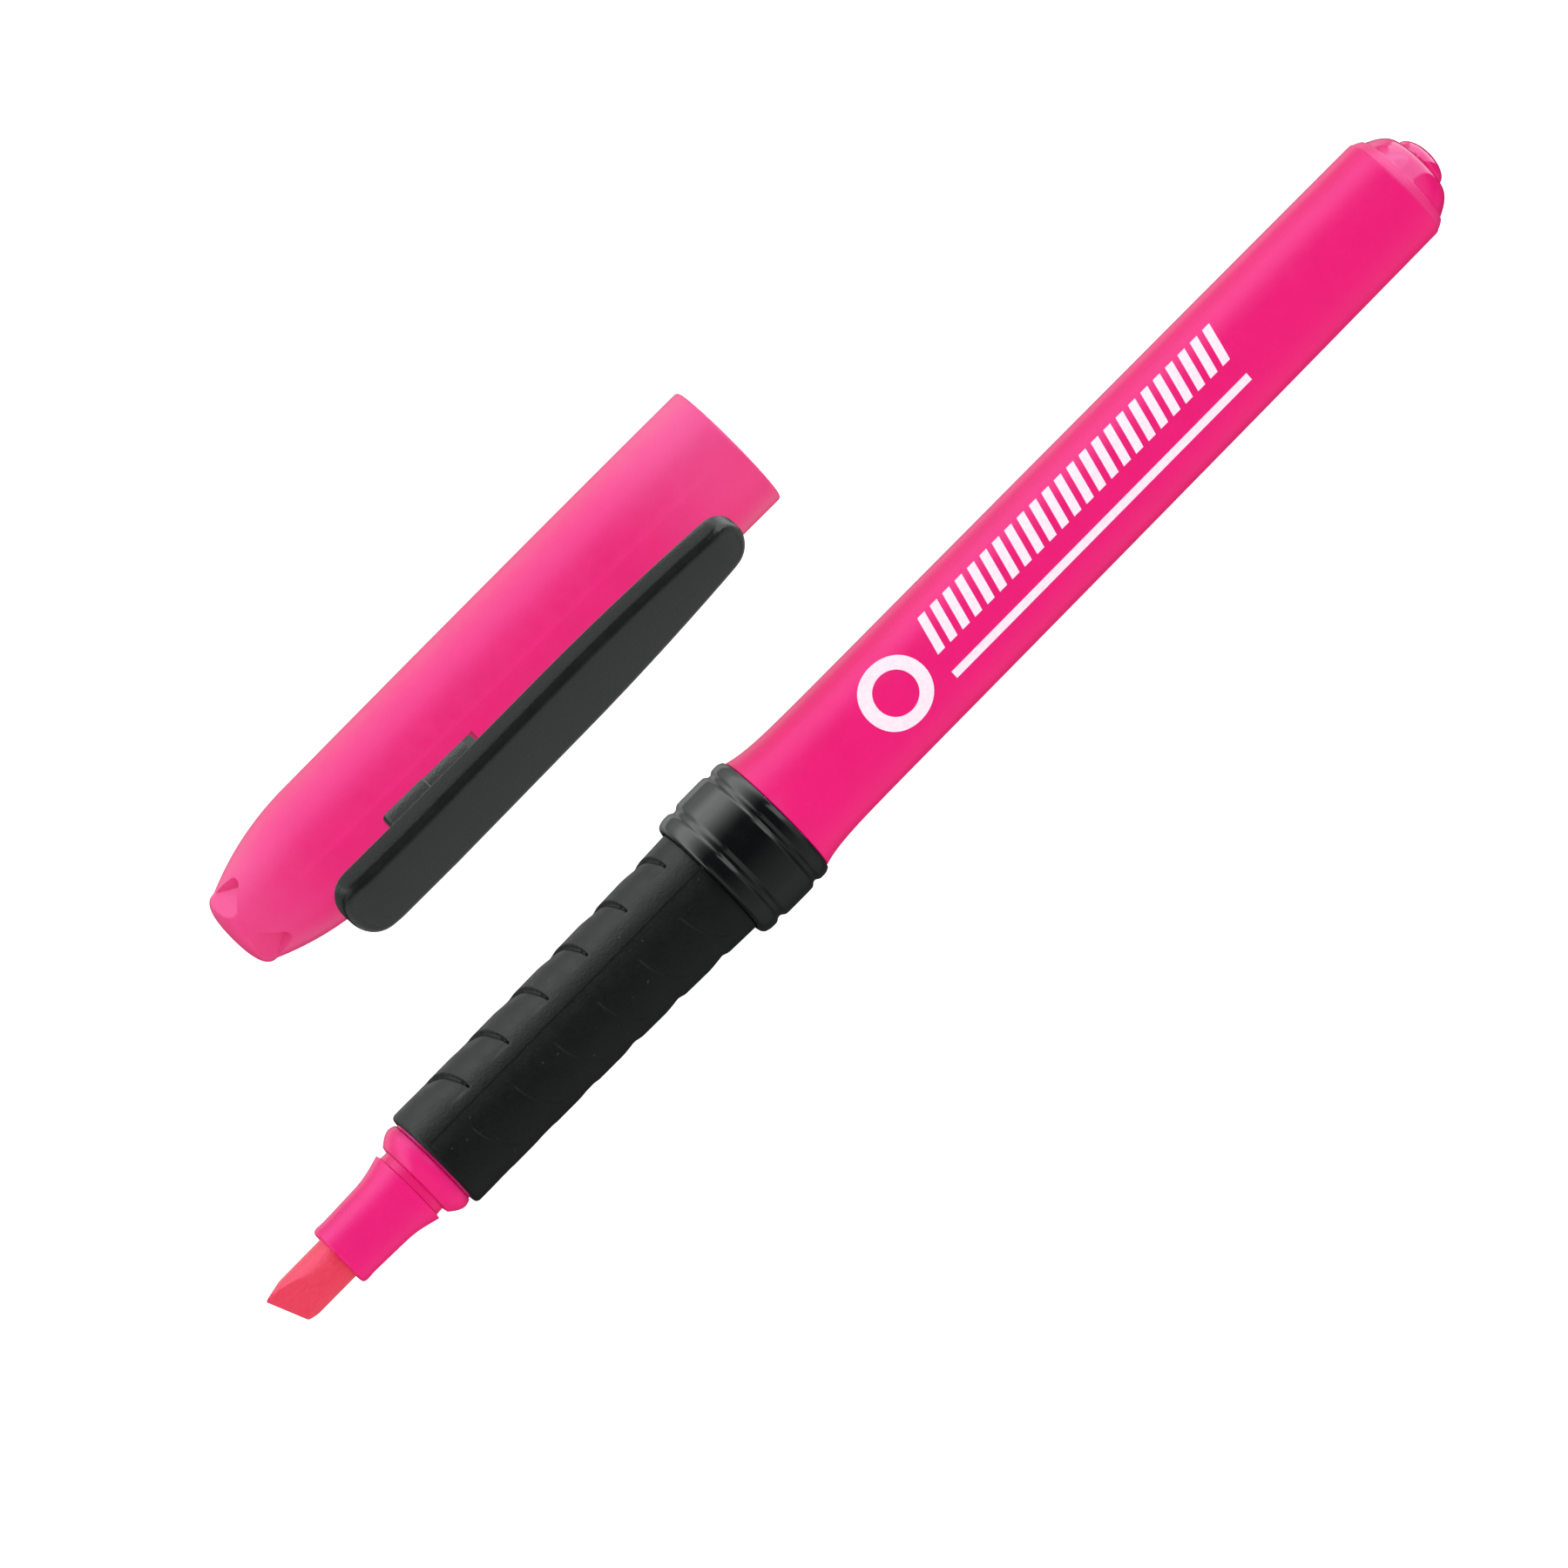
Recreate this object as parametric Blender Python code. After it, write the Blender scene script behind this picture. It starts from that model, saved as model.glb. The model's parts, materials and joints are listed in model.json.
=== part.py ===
"""Highlighter pen with its clip cap lying beside it.

Frame: metres, +Z up, +X from the nib towards the rear plug.  The pen and
the cap lie on z = 0 and the origin is the bottom centre of the whole set.
Dimensions below are in millimetres and are turned into metres by MM.
"""

import math

import bmesh
import bpy
from mathutils import Matrix, Vector

for old in list(bpy.data.objects):
    bpy.data.objects.remove(old, do_unlink=True)

MM = 0.001
SEG = 36                      # facets round every turned piece
FLAT = math.cos(math.pi / SEG)  # apothem of a facet, as a share of the radius

# ---- driving dimensions of the pen, along its own axis ------------------
# x = 0 is the collar's front shoulder, the nib is at -x, the plug at +x
NIB_TIP_X = -52.55
NIB_R = 2.14
NIB_STEM_R = 1.2
NIB_STEM_END_X = -26.0
NIB_BODY_END_X = -34.6
NIB_SLANT = 1.55              # how far the slanted edge runs back
NIB_CHISEL_LENGTH = 4.6       # length of the two chisel facets
NIB_EDGE_HALF = 1.05          # half thickness of the writing edge

NOSE_FRONT_X = -45.5
NOSE_HOLE_R = 2.3
NOSE_FRONT_R = 2.95
NOSE_R = 3.10
NOSE_BACK_R = 3.22
NOSE_FLARE_R = 3.78
SEAL_GROOVE_R = 3.39
SEAL_RIDGE_R = 4.70
NOSE_END_X = -34.0

SLEEVE_TUBE_R = 4.35          # front section's tube under the grip
SLEEVE_TUBE_BORE_R = 3.75
SLEEVE_TUBE_END_X = 20.0

GRIP_X0, GRIP_X1 = -33.8, 0.1
GRIP_FRONT_R = 5.18
GRIP_SWELL = 0.40
FIT = 0.1                     # radial play between turned pieces

COLLAR_X1 = 8.0
COLLAR_RECESS_R = 5.74        # counterbore that takes the grip's rear end
COLLAR_RECESS_X = 0.4
COLLAR_BAND_R = 6.68
COLLAR_BAND_X0, COLLAR_BAND_X1 = 3.1, 5.0
COLLAR_BEAD_R = 6.60
COLLAR_GROOVE_R = 6.37

BARREL_X0, BARREL_X1 = 8.2, 84.25
BARREL_FRONT_R = 5.57
BARREL_REAR_R = 5.34
BARREL_FLARE = 0.57
BARREL_FLARE_LENGTH = 2.0
BARREL_BORE_R = 4.45
BARREL_LAND_X = 83.95         # where the rear rim starts to round over

PLUG_X0, PLUG_X1 = 84.45, 88.5
PLUG_R = 5.16
PLUG_SPIGOT_X0 = 75.6
PLUG_SPIGOT_R = 4.32
PLUG_SPIGOT_BORE_R = 3.3
PLUG_DOME_X = 85.40           # where the rear cone turns into the dome
PLUG_DOME_R = 4.40
PLUG_BUTTON_X = 87.20
PLUG_BUTTON_R = 2.5

WRAP_X0, WRAP_X1 = -32.4, 74.6
WRAP_R, WRAP_BORE_R = 3.62, 3.36
FIBRE_X0, FIBRE_X1 = -32.6, 74.8
FIBRE_R = 3.26
FIBRE_SOCKET_R = 1.5
FIBRE_SOCKET_END_X = -25.4

# ---- driving dimensions of the cap, x = 0 at the mouth rim, closed end -x
CAP_LENGTH = 60.3
CAP_MOUTH_R = 6.38
CAP_TAPER = 0.28              # lost by CAP_SHOULDER_X
CAP_SHOULDER_X = -47.7
CAP_NOSE_RUN = 11.4           # length of the curved end
CAP_NOSE_DROP = 2.39          # radius lost over it
CAP_NOSE_POWER = 2.13
CAP_WALL = 0.78
CAP_NOSE_WALL = 0.95
CAP_INNER_END_X = -56.3
CAP_MOUTH_BORE_R = 5.72
CAP_NOTCH_APEX_X = -56.7
CAP_NOTCH_HALF_ANGLE = math.radians(37.0)
CAP_NOTCH_DEPTH = 0.75

SEAL_MOUTH_X = -33.0
SEAL_END_X = -55.3
SEAL_R = 5.12
SEAL_LIP_BORE_R = 4.79
SEAL_BORE_R = 4.40

CLIP_ANGLE = math.radians(46.5)   # clip leans over towards the pen
CLIP_X0, CLIP_X1 = -52.3, -4.8
CLIP_OUTER = 9.7              # outer face, from the cap's axis
CLIP_UNDER = 7.15             # underside, from the cap's axis
CLIP_HALF_WIDE = 3.45
CLIP_NARROWING = 0.9          # lost over CLIP_NARROW_RUN towards the free end
CLIP_NARROW_X = -25.7
CLIP_NARROW_RUN = 18.4
CLIP_SLOPE_X = -42.0          # from here on the clip leans in to the cap
CLIP_SLOPE_OUTER = 0.021
CLIP_SLOPE_UNDER = 0.013
CLIP_FOOT_X0, CLIP_FOOT_X1 = -44.1, -33.7
CLIP_FOOT_HALF = 2.85
CLIP_FOOT_BOTTOM_R = 5.56
CLIP_SLOT_GAP = 0.3
CLIP_PIVOT_R = 6.3            # flex axis, at the foot's rear edge

# ---- how the two halves lie ----------------------------------------------
CAP_MOUTH_AT_X = 27.9         # cap's mouth, in the pen's x
CAP_OFFSET_Y = 25.23          # between the two axes, at the cap's mouth
CAP_YAW = math.radians(-0.45)  # the cap isn't quite parallel to the pen
CAP_FAR_Y = CAP_OFFSET_Y + CAP_MOUTH_R + 0.13
ORIGIN_X = (NIB_TIP_X + PLUG_X1) / 2.0
ORIGIN_Y = (CAP_FAR_Y - COLLAR_BAND_R) / 2.0

# the pen rests on the collar's band and on the rear rim of the barrel, so
# its axis drops a little towards the rear
PEN_PITCH = math.atan((COLLAR_BAND_R - BARREL_REAR_R) * FLAT
                      / (BARREL_LAND_X - COLLAR_BAND_X1))
PEN_AXIS_Z = (COLLAR_BAND_X1 * math.sin(PEN_PITCH)
              + COLLAR_BAND_R * FLAT * math.cos(PEN_PITCH))
CAP_AXIS_Z = CAP_MOUTH_R * FLAT


# ---- materials ------------------------------------------------------------
def material(name, color, roughness, metallic=0.0):
    mat = bpy.data.materials.new(name)
    mat.use_nodes = True
    bsdf = mat.node_tree.nodes["Principled BSDF"]
    bsdf.inputs["Base Color"].default_value = (*color, 1.0)
    bsdf.inputs["Roughness"].default_value = roughness
    bsdf.inputs["Metallic"].default_value = metallic
    mat.diffuse_color = (*color, 1.0)
    return mat


# ---- helpers --------------------------------------------------------------
def empty(name, location, rotation=(0.0, 0.0, 0.0)):
    obj = bpy.data.objects.new(name, None)
    obj.location = location
    obj.rotation_euler = rotation
    bpy.context.scene.collection.objects.link(obj)
    return obj


def finish_mesh(name, bm, mat=None, parent=None, smooth=True):
    bmesh.ops.recalc_face_normals(bm, faces=bm.faces)
    mesh = bpy.data.meshes.new(name)
    bm.to_mesh(mesh)
    bm.free()
    if smooth:
        mesh.shade_smooth()
        mesh.set_sharp_from_angle(angle=math.radians(32.0))
    obj = bpy.data.objects.new(name, mesh)
    if mat is not None:
        mesh.materials.append(mat)
    bpy.context.scene.collection.objects.link(obj)
    obj.parent = parent
    return obj


def rounded(corners, steps=3):
    """Corners are (x, r) or (x, r, fillet); a fillet becomes an arc-like
    curve through the tangent points."""
    out = []
    count = len(corners)
    for i, corner in enumerate(corners):
        here = Vector((corner[0], corner[1]))
        if len(corner) < 3 or i in (0, count - 1):
            out.append((here.x, here.y))
            continue
        before = Vector(corners[i - 1][:2])
        after = Vector(corners[i + 1][:2])
        reach = min(corner[2], (before - here).length * 0.49,
                    (after - here).length * 0.49)
        a = here + (before - here).normalized() * reach
        b = here + (after - here).normalized() * reach
        for k in range(steps + 1):
            t = k / steps
            p = (1 - t) ** 2 * a + 2 * t * (1 - t) * here + t ** 2 * b
            out.append((p.x, p.y))
    return out


def turned(name, profile, mat, parent, ring=True):
    """Turn an (x, r) profile in millimetres about the X axis.  A ring has a
    closed profile; otherwise the profile starts and ends on the axis."""
    bm = bmesh.new()
    phase = math.pi / SEG          # a facet, not an edge, faces down
    verts = [bm.verts.new((x * MM, r * MM * math.sin(phase),
                           r * MM * math.cos(phase))) for x, r in profile]
    edges = [bm.edges.new((a, b)) for a, b in zip(verts, verts[1:])]
    if ring:
        edges.append(bm.edges.new((verts[-1], verts[0])))
    bmesh.ops.spin(bm, geom=verts + edges, cent=(0, 0, 0), axis=(1, 0, 0),
                   angle=2.0 * math.pi, steps=SEG, use_merge=False,
                   use_duplicate=False)
    bmesh.ops.remove_doubles(bm, verts=bm.verts, dist=2e-6)
    bmesh.ops.dissolve_degenerate(bm, dist=1e-7, edges=bm.edges)
    return finish_mesh(name, bm, mat, parent)


def prism(name, outline, low, high, axis="X", mat=None, parent=None):
    """Extrude an outline of (a, b) points in millimetres from low to high.
    axis X: a is y and b is z.  axis Z: a is x and b is y."""
    bm = bmesh.new()
    if axis == "X":
        verts = [bm.verts.new((low * MM, a * MM, b * MM)) for a, b in outline]
        push = Vector(((high - low) * MM, 0, 0))
    else:
        verts = [bm.verts.new((a * MM, b * MM, low * MM)) for a, b in outline]
        push = Vector((0, 0, (high - low) * MM))
    face = bm.faces.new(verts)
    grown = bmesh.ops.extrude_face_region(bm, geom=[face])
    bmesh.ops.translate(bm, vec=push, verts=[
        v for v in grown["geom"] if isinstance(v, bmesh.types.BMVert)])
    return finish_mesh(name, bm, mat, parent, smooth=False)


def hide_cutter(obj):
    obj.hide_render = True
    obj.display_type = "WIRE"
    return obj


def cut(target, cutter, label):
    mod = target.modifiers.new(label, "BOOLEAN")
    mod.operation = "DIFFERENCE"
    mod.solver = "EXACT"
    mod.object = cutter


# ---- shapes that follow a rule ---------------------------------------------
def barrel_r(x):
    run = (x - BARREL_X0) / (BARREL_X1 - BARREL_X0)
    flare = BARREL_FLARE * math.exp(-(x - BARREL_X0) / BARREL_FLARE_LENGTH)
    return BARREL_FRONT_R + (BARREL_REAR_R - BARREL_FRONT_R) * run + flare


def grip_r(x):
    run = (x - GRIP_X0) / (GRIP_X1 - GRIP_X0)
    return GRIP_FRONT_R + GRIP_SWELL * run ** 3


def cap_r(x):
    if x >= CAP_SHOULDER_X:
        return CAP_MOUTH_R - CAP_TAPER * (x / CAP_SHOULDER_X) ** 2
    run = (CAP_SHOULDER_X - x) / CAP_NOSE_RUN
    return (CAP_MOUTH_R - CAP_TAPER
            - CAP_NOSE_DROP * run ** CAP_NOSE_POWER)


def spread(a, b, count):
    return [a + (b - a) * i / (count - 1) for i in range(count)]


# ---- frames ------------------------------------------------------------------
pen_axis = empty("pen_axis",
                 (-ORIGIN_X * MM, -ORIGIN_Y * MM, PEN_AXIS_Z * MM),
                 (0.0, PEN_PITCH, 0.0))
cap_axis = empty("cap_axis",
                 ((CAP_MOUTH_AT_X - ORIGIN_X) * MM,
                  (CAP_OFFSET_Y - ORIGIN_Y) * MM, CAP_AXIS_Z * MM),
                 (0.0, 0.0, CAP_YAW))

pink_barrel = material("pink_barrel", (0.80, 0.012, 0.19), 0.36)
pink_front = material("pink_front", (0.80, 0.016, 0.25), 0.30)
pink_plug = material("pink_plug", (0.82, 0.012, 0.19), 0.26)
pink_cap = material("pink_cap", (0.80, 0.020, 0.24), 0.34)
black_rubber = material("black_rubber", (0.022, 0.026, 0.026), 0.75)
black_gloss = material("black_gloss", (0.012, 0.016, 0.016), 0.22)
black_clip = material("black_clip", (0.026, 0.030, 0.030), 0.42)
nib_fibre = material("nib_fibre", (0.86, 0.09, 0.12), 0.85)
ink_fibre = material("ink_fibre", (0.85, 0.05, 0.25), 0.9)
clear_film = material("clear_film", (0.80, 0.78, 0.80), 0.25)
seal_plastic = material("seal_plastic", (0.80, 0.78, 0.76), 0.5)

# ---- pen: front section, the nose and the tube behind it ----------------------
turned("front_section", rounded([
    (NOSE_FRONT_X, NOSE_HOLE_R),
    (NOSE_FRONT_X, NOSE_FRONT_R, 0.35),
    (NOSE_FRONT_X + 0.9, NOSE_R),
    (-39.1, NOSE_BACK_R, 1.0),
    (-37.0, NOSE_FLARE_R),
    (-36.85, SEAL_GROOVE_R),
    (-36.2, SEAL_GROOVE_R),
    (-36.1, 3.95),
    (-35.5, 4.42),
    (-34.7, SEAL_RIDGE_R, 0.5),
    (NOSE_END_X, 4.50),
    (NOSE_END_X, SLEEVE_TUBE_R),
    (SLEEVE_TUBE_END_X - 0.8, SLEEVE_TUBE_R),
    (SLEEVE_TUBE_END_X, SLEEVE_TUBE_R - 0.25),
    (SLEEVE_TUBE_END_X, SLEEVE_TUBE_BORE_R),
    (-33.0, SLEEVE_TUBE_BORE_R),
    (-33.0, 2.9),
    (-34.0, NOSE_HOLE_R),
]), pink_front, pen_axis)

# ---- pen: chisel nib ------------------------------------------------------------
nib = turned("chisel_nib", rounded([
    (NIB_TIP_X - 0.4, 0.0),
    (NIB_TIP_X - 0.4, NIB_R),
    (NIB_BODY_END_X, NIB_R, 0.3),
    (NIB_BODY_END_X + 0.3, NIB_STEM_R),
    (NIB_STEM_END_X, NIB_STEM_R, 0.3),
    (NIB_STEM_END_X, 0.0),
]), nib_fibre, pen_axis, ring=False)

# the end is cut off at a slant across the width, then two facets leave a
# narrow writing edge
slant = prism("nib_slant_cutter", [
    (NIB_TIP_X - 3.0, -4.0), (NIB_TIP_X + NIB_SLANT + 0.45, -4.0),
    (NIB_TIP_X + NIB_SLANT - 0.05, -2.0), (NIB_TIP_X, 1.75),
    (NIB_TIP_X + 1.0, 2.04), (NIB_TIP_X + 2.2, 4.0),
    (NIB_TIP_X - 3.0, 4.0)], -4.0, 4.0, axis="Z", parent=pen_axis)
hide_cutter(slant)
cut(nib, slant, "slant")
for side in (1.0, -1.0):
    facet = bmesh.new()
    x0, x1 = NIB_TIP_X - 1.0, NIB_TIP_X + NIB_CHISEL_LENGTH
    slope = (NIB_R - NIB_EDGE_HALF) / NIB_CHISEL_LENGTH
    z0 = NIB_EDGE_HALF - 1.0 * slope
    points = [(x0, z0), (x1 + 1.0, NIB_R + slope), (x1 + 1.0, 5.0), (x0, 5.0)]
    ring = [facet.verts.new((x * MM, -5.0 * MM, side * z * MM))
            for x, z in points]
    face = facet.faces.new(ring)
    grown = bmesh.ops.extrude_face_region(facet, geom=[face])
    bmesh.ops.translate(facet, vec=(0, 10.0 * MM, 0), verts=[
        v for v in grown["geom"] if isinstance(v, bmesh.types.BMVert)])
    wedge = finish_mesh("nib_facet_cutter_%d" % (1 if side > 0 else 2),
                        facet, None, pen_axis, smooth=False)
    hide_cutter(wedge)
    cut(nib, wedge, "facet")

# ---- pen: grip, collar, barrel and plug ------------------------------------------
grip_side = [(x, grip_r(x)) for x in spread(GRIP_X0 + 0.5, GRIP_X1, 9)]
turned("grip_sleeve", (
    [(GRIP_X0, SLEEVE_TUBE_R + FIT), (GRIP_X0, GRIP_FRONT_R - 0.32),
     (GRIP_X0 + 0.15, GRIP_FRONT_R - 0.10)]
    + grip_side + [(GRIP_X1, SLEEVE_TUBE_R + FIT)]), black_rubber, pen_axis)

turned("collar", rounded([
    (COLLAR_RECESS_X, SLEEVE_TUBE_R + FIT),
    (COLLAR_RECESS_X, COLLAR_RECESS_R),
    (0.0, COLLAR_RECESS_R),
    (0.0, 6.14),
    (0.14, 6.38),
    (0.52, 6.56),
    (1.30, COLLAR_BEAD_R, 0.5),
    (2.06, COLLAR_GROOVE_R),
    (COLLAR_BAND_X0, COLLAR_BAND_R),
    (COLLAR_BAND_X1, COLLAR_BAND_R),
    (6.33, COLLAR_GROOVE_R),
    (7.10, COLLAR_BEAD_R + 0.02, 0.5),
    (COLLAR_X1, 6.28),
    (COLLAR_X1, SLEEVE_TUBE_R + FIT),
], steps=2), black_gloss, pen_axis)

barrel_stations = ([BARREL_X0 + d for d in (0.0, 0.6, 1.3, 2.4, 4.0, 6.4)]
                   + spread(BARREL_X0 + 11.0, BARREL_LAND_X, 7))
turned("barrel", (
    [(BARREL_X0, BARREL_BORE_R)]
    + [(x, barrel_r(x)) for x in barrel_stations]
    + [(BARREL_X1 - 0.1, BARREL_REAR_R - 0.10), (BARREL_X1, BARREL_REAR_R - 0.25),
       (BARREL_X1, BARREL_BORE_R)]), pink_barrel, pen_axis)

dome_run = PLUG_BUTTON_X - 0.15 - PLUG_DOME_X
dome = [(PLUG_DOME_X + dome_run * math.sin(a),
         PLUG_BUTTON_R + 0.05
         + (PLUG_DOME_R - PLUG_BUTTON_R - 0.05) * math.cos(a))
        for a in (0.0, 0.5, 0.95, 1.3)]
button = [(PLUG_BUTTON_X + (PLUG_X1 - PLUG_BUTTON_X) * math.sin(a),
           PLUG_BUTTON_R * math.cos(a)) for a in (0.0, 0.45, 0.85, 1.2)]
turned("end_plug", rounded([
    (PLUG_X0 - 1.2, 0.0),
    (PLUG_X0 - 1.2, PLUG_SPIGOT_BORE_R),
    (PLUG_SPIGOT_X0, PLUG_SPIGOT_BORE_R),
    (PLUG_SPIGOT_X0, PLUG_SPIGOT_R - 0.3),
    (PLUG_SPIGOT_X0 + 0.8, PLUG_SPIGOT_R),
    (PLUG_X0, PLUG_SPIGOT_R),
    (PLUG_X0, PLUG_R, 0.2),
    (PLUG_X0 + 0.35, PLUG_R - 0.06),
]) + dome + [(PLUG_BUTTON_X - 0.15, PLUG_BUTTON_R + 0.02)] + button
    + [(PLUG_X1, 0.0)], pink_plug, pen_axis, ring=False)

# ---- pen: what it holds inside ------------------------------------------------------
turned("ink_reservoir", [
    (FIBRE_SOCKET_END_X, 0.0),
    (FIBRE_SOCKET_END_X, FIBRE_SOCKET_R),
    (FIBRE_X0, FIBRE_SOCKET_R),
    (FIBRE_X0, FIBRE_R - 0.2),
    (FIBRE_X0 + 0.2, FIBRE_R),
    (FIBRE_X1 - 0.2, FIBRE_R),
    (FIBRE_X1, FIBRE_R - 0.2),
    (FIBRE_X1, 0.0),
], ink_fibre, pen_axis, ring=False)

turned("reservoir_wrap", [
    (WRAP_X0, WRAP_BORE_R), (WRAP_X0, WRAP_R),
    (WRAP_X1, WRAP_R), (WRAP_X1, WRAP_BORE_R),
], clear_film, pen_axis)

# ---- cap shell -------------------------------------------------------------------------
outer = [(0.0, CAP_MOUTH_R - 0.22), (-0.12, CAP_MOUTH_R - 0.06),
         (-0.35, CAP_MOUTH_R)]
outer += [(x, cap_r(x)) for x in spread(-6.0, CAP_SHOULDER_X, 6)]
outer += [(x, cap_r(x)) for x in spread(CAP_SHOULDER_X - 2.3,
                                        CAP_SHOULDER_X - CAP_NOSE_RUN, 7)]
outer += [(-59.60, 3.30), (-59.93, 2.75), (-CAP_LENGTH + 0.08, 1.5),
          (-CAP_LENGTH, 0.0)]
inner = [(CAP_INNER_END_X, 0.0)]
inner += [(x, cap_r(x) - CAP_NOSE_WALL)
          for x in spread(CAP_INNER_END_X, CAP_SHOULDER_X - 1.0, 5)]
inner += [(x, cap_r(x) - CAP_WALL) for x in spread(CAP_SHOULDER_X + 3.0, -2.2, 4)]
inner += [(-1.6, CAP_MOUTH_BORE_R - 0.04), (-0.25, CAP_MOUTH_BORE_R),
          (0.0, CAP_MOUTH_BORE_R + 0.15)]
cap_shell = turned("cap_shell", inner + outer, pink_cap, cap_axis, ring=False)

# slot in the wall for the clip's foot
slot_half = CLIP_FOOT_HALF + CLIP_SLOT_GAP
slot = prism("clip_slot_cutter", [
    (-slot_half, 3.6), (slot_half, 3.6), (slot_half, 8.0), (-slot_half, 8.0)],
    CLIP_FOOT_X0 - CLIP_SLOT_GAP, CLIP_FOOT_X1 + CLIP_SLOT_GAP, axis="X",
    parent=cap_axis)
slot.rotation_euler = (CLIP_ANGLE, 0.0, 0.0)
hide_cutter(slot)
cut(cap_shell, slot, "clip_slot")

# four triangular notches in the closed end
notches = bmesh.new()
reach = 5.0
for quarter in range(4):
    half = reach * math.tan(CAP_NOTCH_HALF_ANGLE)
    floor_apex = cap_r(CAP_NOTCH_APEX_X) - CAP_NOTCH_DEPTH
    floor_end = floor_apex - reach * 0.42
    turn = Matrix.Rotation(CLIP_ANGLE + quarter * math.pi / 2.0, 3, "X")
    spots = []
    for x, y, z in ((CAP_NOTCH_APEX_X, 0.0, floor_apex),
                    (CAP_NOTCH_APEX_X - reach, half, floor_end),
                    (CAP_NOTCH_APEX_X - reach, -half, floor_end),
                    (CAP_NOTCH_APEX_X + 0.25, 0.0, 8.0),
                    (CAP_NOTCH_APEX_X - reach, half, 8.0),
                    (CAP_NOTCH_APEX_X - reach, -half, 8.0)):
        spots.append(notches.verts.new(turn @ Vector((x * MM, y * MM, z * MM))))
    for corners in ((0, 1, 2), (3, 4, 5), (0, 1, 4, 3), (1, 2, 5, 4),
                    (2, 0, 3, 5)):
        notches.faces.new([spots[i] for i in corners])
notch_cutter = finish_mesh("cap_notch_cutter", notches, None, cap_axis,
                           smooth=False)
hide_cutter(notch_cutter)
cut(cap_shell, notch_cutter, "end_notches")

# ---- cap's inner seal cup ------------------------------------------------------------------
turned("cap_inner_seal", rounded([
    (SEAL_END_X + 0.8, 0.0),
    (SEAL_END_X + 0.8, 3.1),
    (-51.8, SEAL_BORE_R, 0.6),
    (-38.2, SEAL_BORE_R),
    (-36.6, SEAL_LIP_BORE_R),
    (SEAL_MOUTH_X - 0.5, SEAL_LIP_BORE_R),
    (SEAL_MOUTH_X, SEAL_LIP_BORE_R + 0.12),
    (SEAL_MOUTH_X, SEAL_R),
    (-47.2, SEAL_R - 0.08, 1.0),
    (-51.4, 4.72),
    (SEAL_END_X, 3.78, 0.3),
    (SEAL_END_X, 0.0),
]), seal_plastic, cap_axis, ring=False)

# ---- clip -------------------------------------------------------------------------------------
# Its mesh is measured from the flex axis: local X along the cap, local Z
# outward, local Y across.


def clip_half_width(x):
    run = max(x - CLIP_NARROW_X, 0.0) / CLIP_NARROW_RUN
    half = CLIP_HALF_WIDE - CLIP_NARROWING * run ** 1.9
    rear = x - CLIP_X0
    if rear < 5.0:
        half *= math.sqrt(max(1.0 - (1.0 - rear / 5.0) ** 2, 0.0))
    front = CLIP_X1 - x
    if front < 1.8:
        half *= math.sqrt(max(1.0 - (1.0 - front / 1.8) ** 2, 0.0)) * 0.75 + 0.25
    return half


def clip_drop(x):
    """How far the outer face curves down at the two ends."""
    rear = max(0.0, 1.0 - (x - CLIP_X0) / 3.5)
    front = max(0.0, 1.0 - (CLIP_X1 - x) / 2.0)
    return 1.15 * rear ** 2 + 0.9 * front ** 2


clip_stations = ([CLIP_X0 + d for d in (0.12, 0.5, 1.1, 2.0, 3.4, 5.2)]
                 + spread(CLIP_FOOT_X0, CLIP_FOOT_X1, 3)
                 + spread(-29.0, -9.0, 5)
                 + [CLIP_X1 - d for d in (2.0, 1.2, 0.5, 0.1)])
bm = bmesh.new()
rings = []
for x in clip_stations:
    half = clip_half_width(x)
    lean_run = max(x - CLIP_SLOPE_X, 0.0)
    under = CLIP_UNDER - CLIP_SLOPE_UNDER * lean_run
    top = CLIP_OUTER - CLIP_SLOPE_OUTER * lean_run - clip_drop(x)
    bevel = min(0.45, half * 0.35)
    under_bevel = min(0.2, half * 0.2)
    crown = 0.10 * min(1.0, half / CLIP_HALF_WIDE)
    section = [(-half + under_bevel, under), (-half, under + under_bevel),
               (-half, top - bevel), (-half + bevel, top - 0.05),
               (0.0, top + crown),
               (half - bevel, top - 0.05), (half, top - bevel),
               (half, under + under_bevel), (half - under_bevel, under)]
    rings.append([bm.verts.new(((x - CLIP_FOOT_X0) * MM, y * MM,
                                (z - CLIP_PIVOT_R) * MM)) for y, z in section])
for near, far in zip(rings, rings[1:]):
    for i in range(len(near)):
        j = (i + 1) % len(near)
        bm.faces.new((near[i], near[j], far[j], far[i]))
bm.faces.new(rings[0])
bm.faces.new(rings[-1])
clip = finish_mesh("clip", bm, black_clip, cap_axis)
clip.location = (CLIP_FOOT_X0 * MM,
                 -CLIP_PIVOT_R * math.sin(CLIP_ANGLE) * MM,
                 CLIP_PIVOT_R * math.cos(CLIP_ANGLE) * MM)
clip.rotation_euler = (CLIP_ANGLE, 0.0, 0.0)

# the foot below it, with a curved bottom that follows the cap's bore
foot_bottom = []
for i in range(9):
    y = -CLIP_FOOT_HALF + 2.0 * CLIP_FOOT_HALF * i / 8.0
    foot_bottom.append((y, math.sqrt(CLIP_FOOT_BOTTOM_R ** 2 - y * y)
                        - CLIP_PIVOT_R))
foot_top = CLIP_UNDER + 0.8 - CLIP_PIVOT_R
foot = prism("clip_foot_tool", foot_bottom
             + [(CLIP_FOOT_HALF, foot_top), (-CLIP_FOOT_HALF, foot_top)],
             0.0, CLIP_FOOT_X1 - CLIP_FOOT_X0, axis="X", parent=cap_axis)
foot.location = clip.location
foot.rotation_euler = clip.rotation_euler
hide_cutter(foot)
join = clip.modifiers.new("foot", "BOOLEAN")
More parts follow.
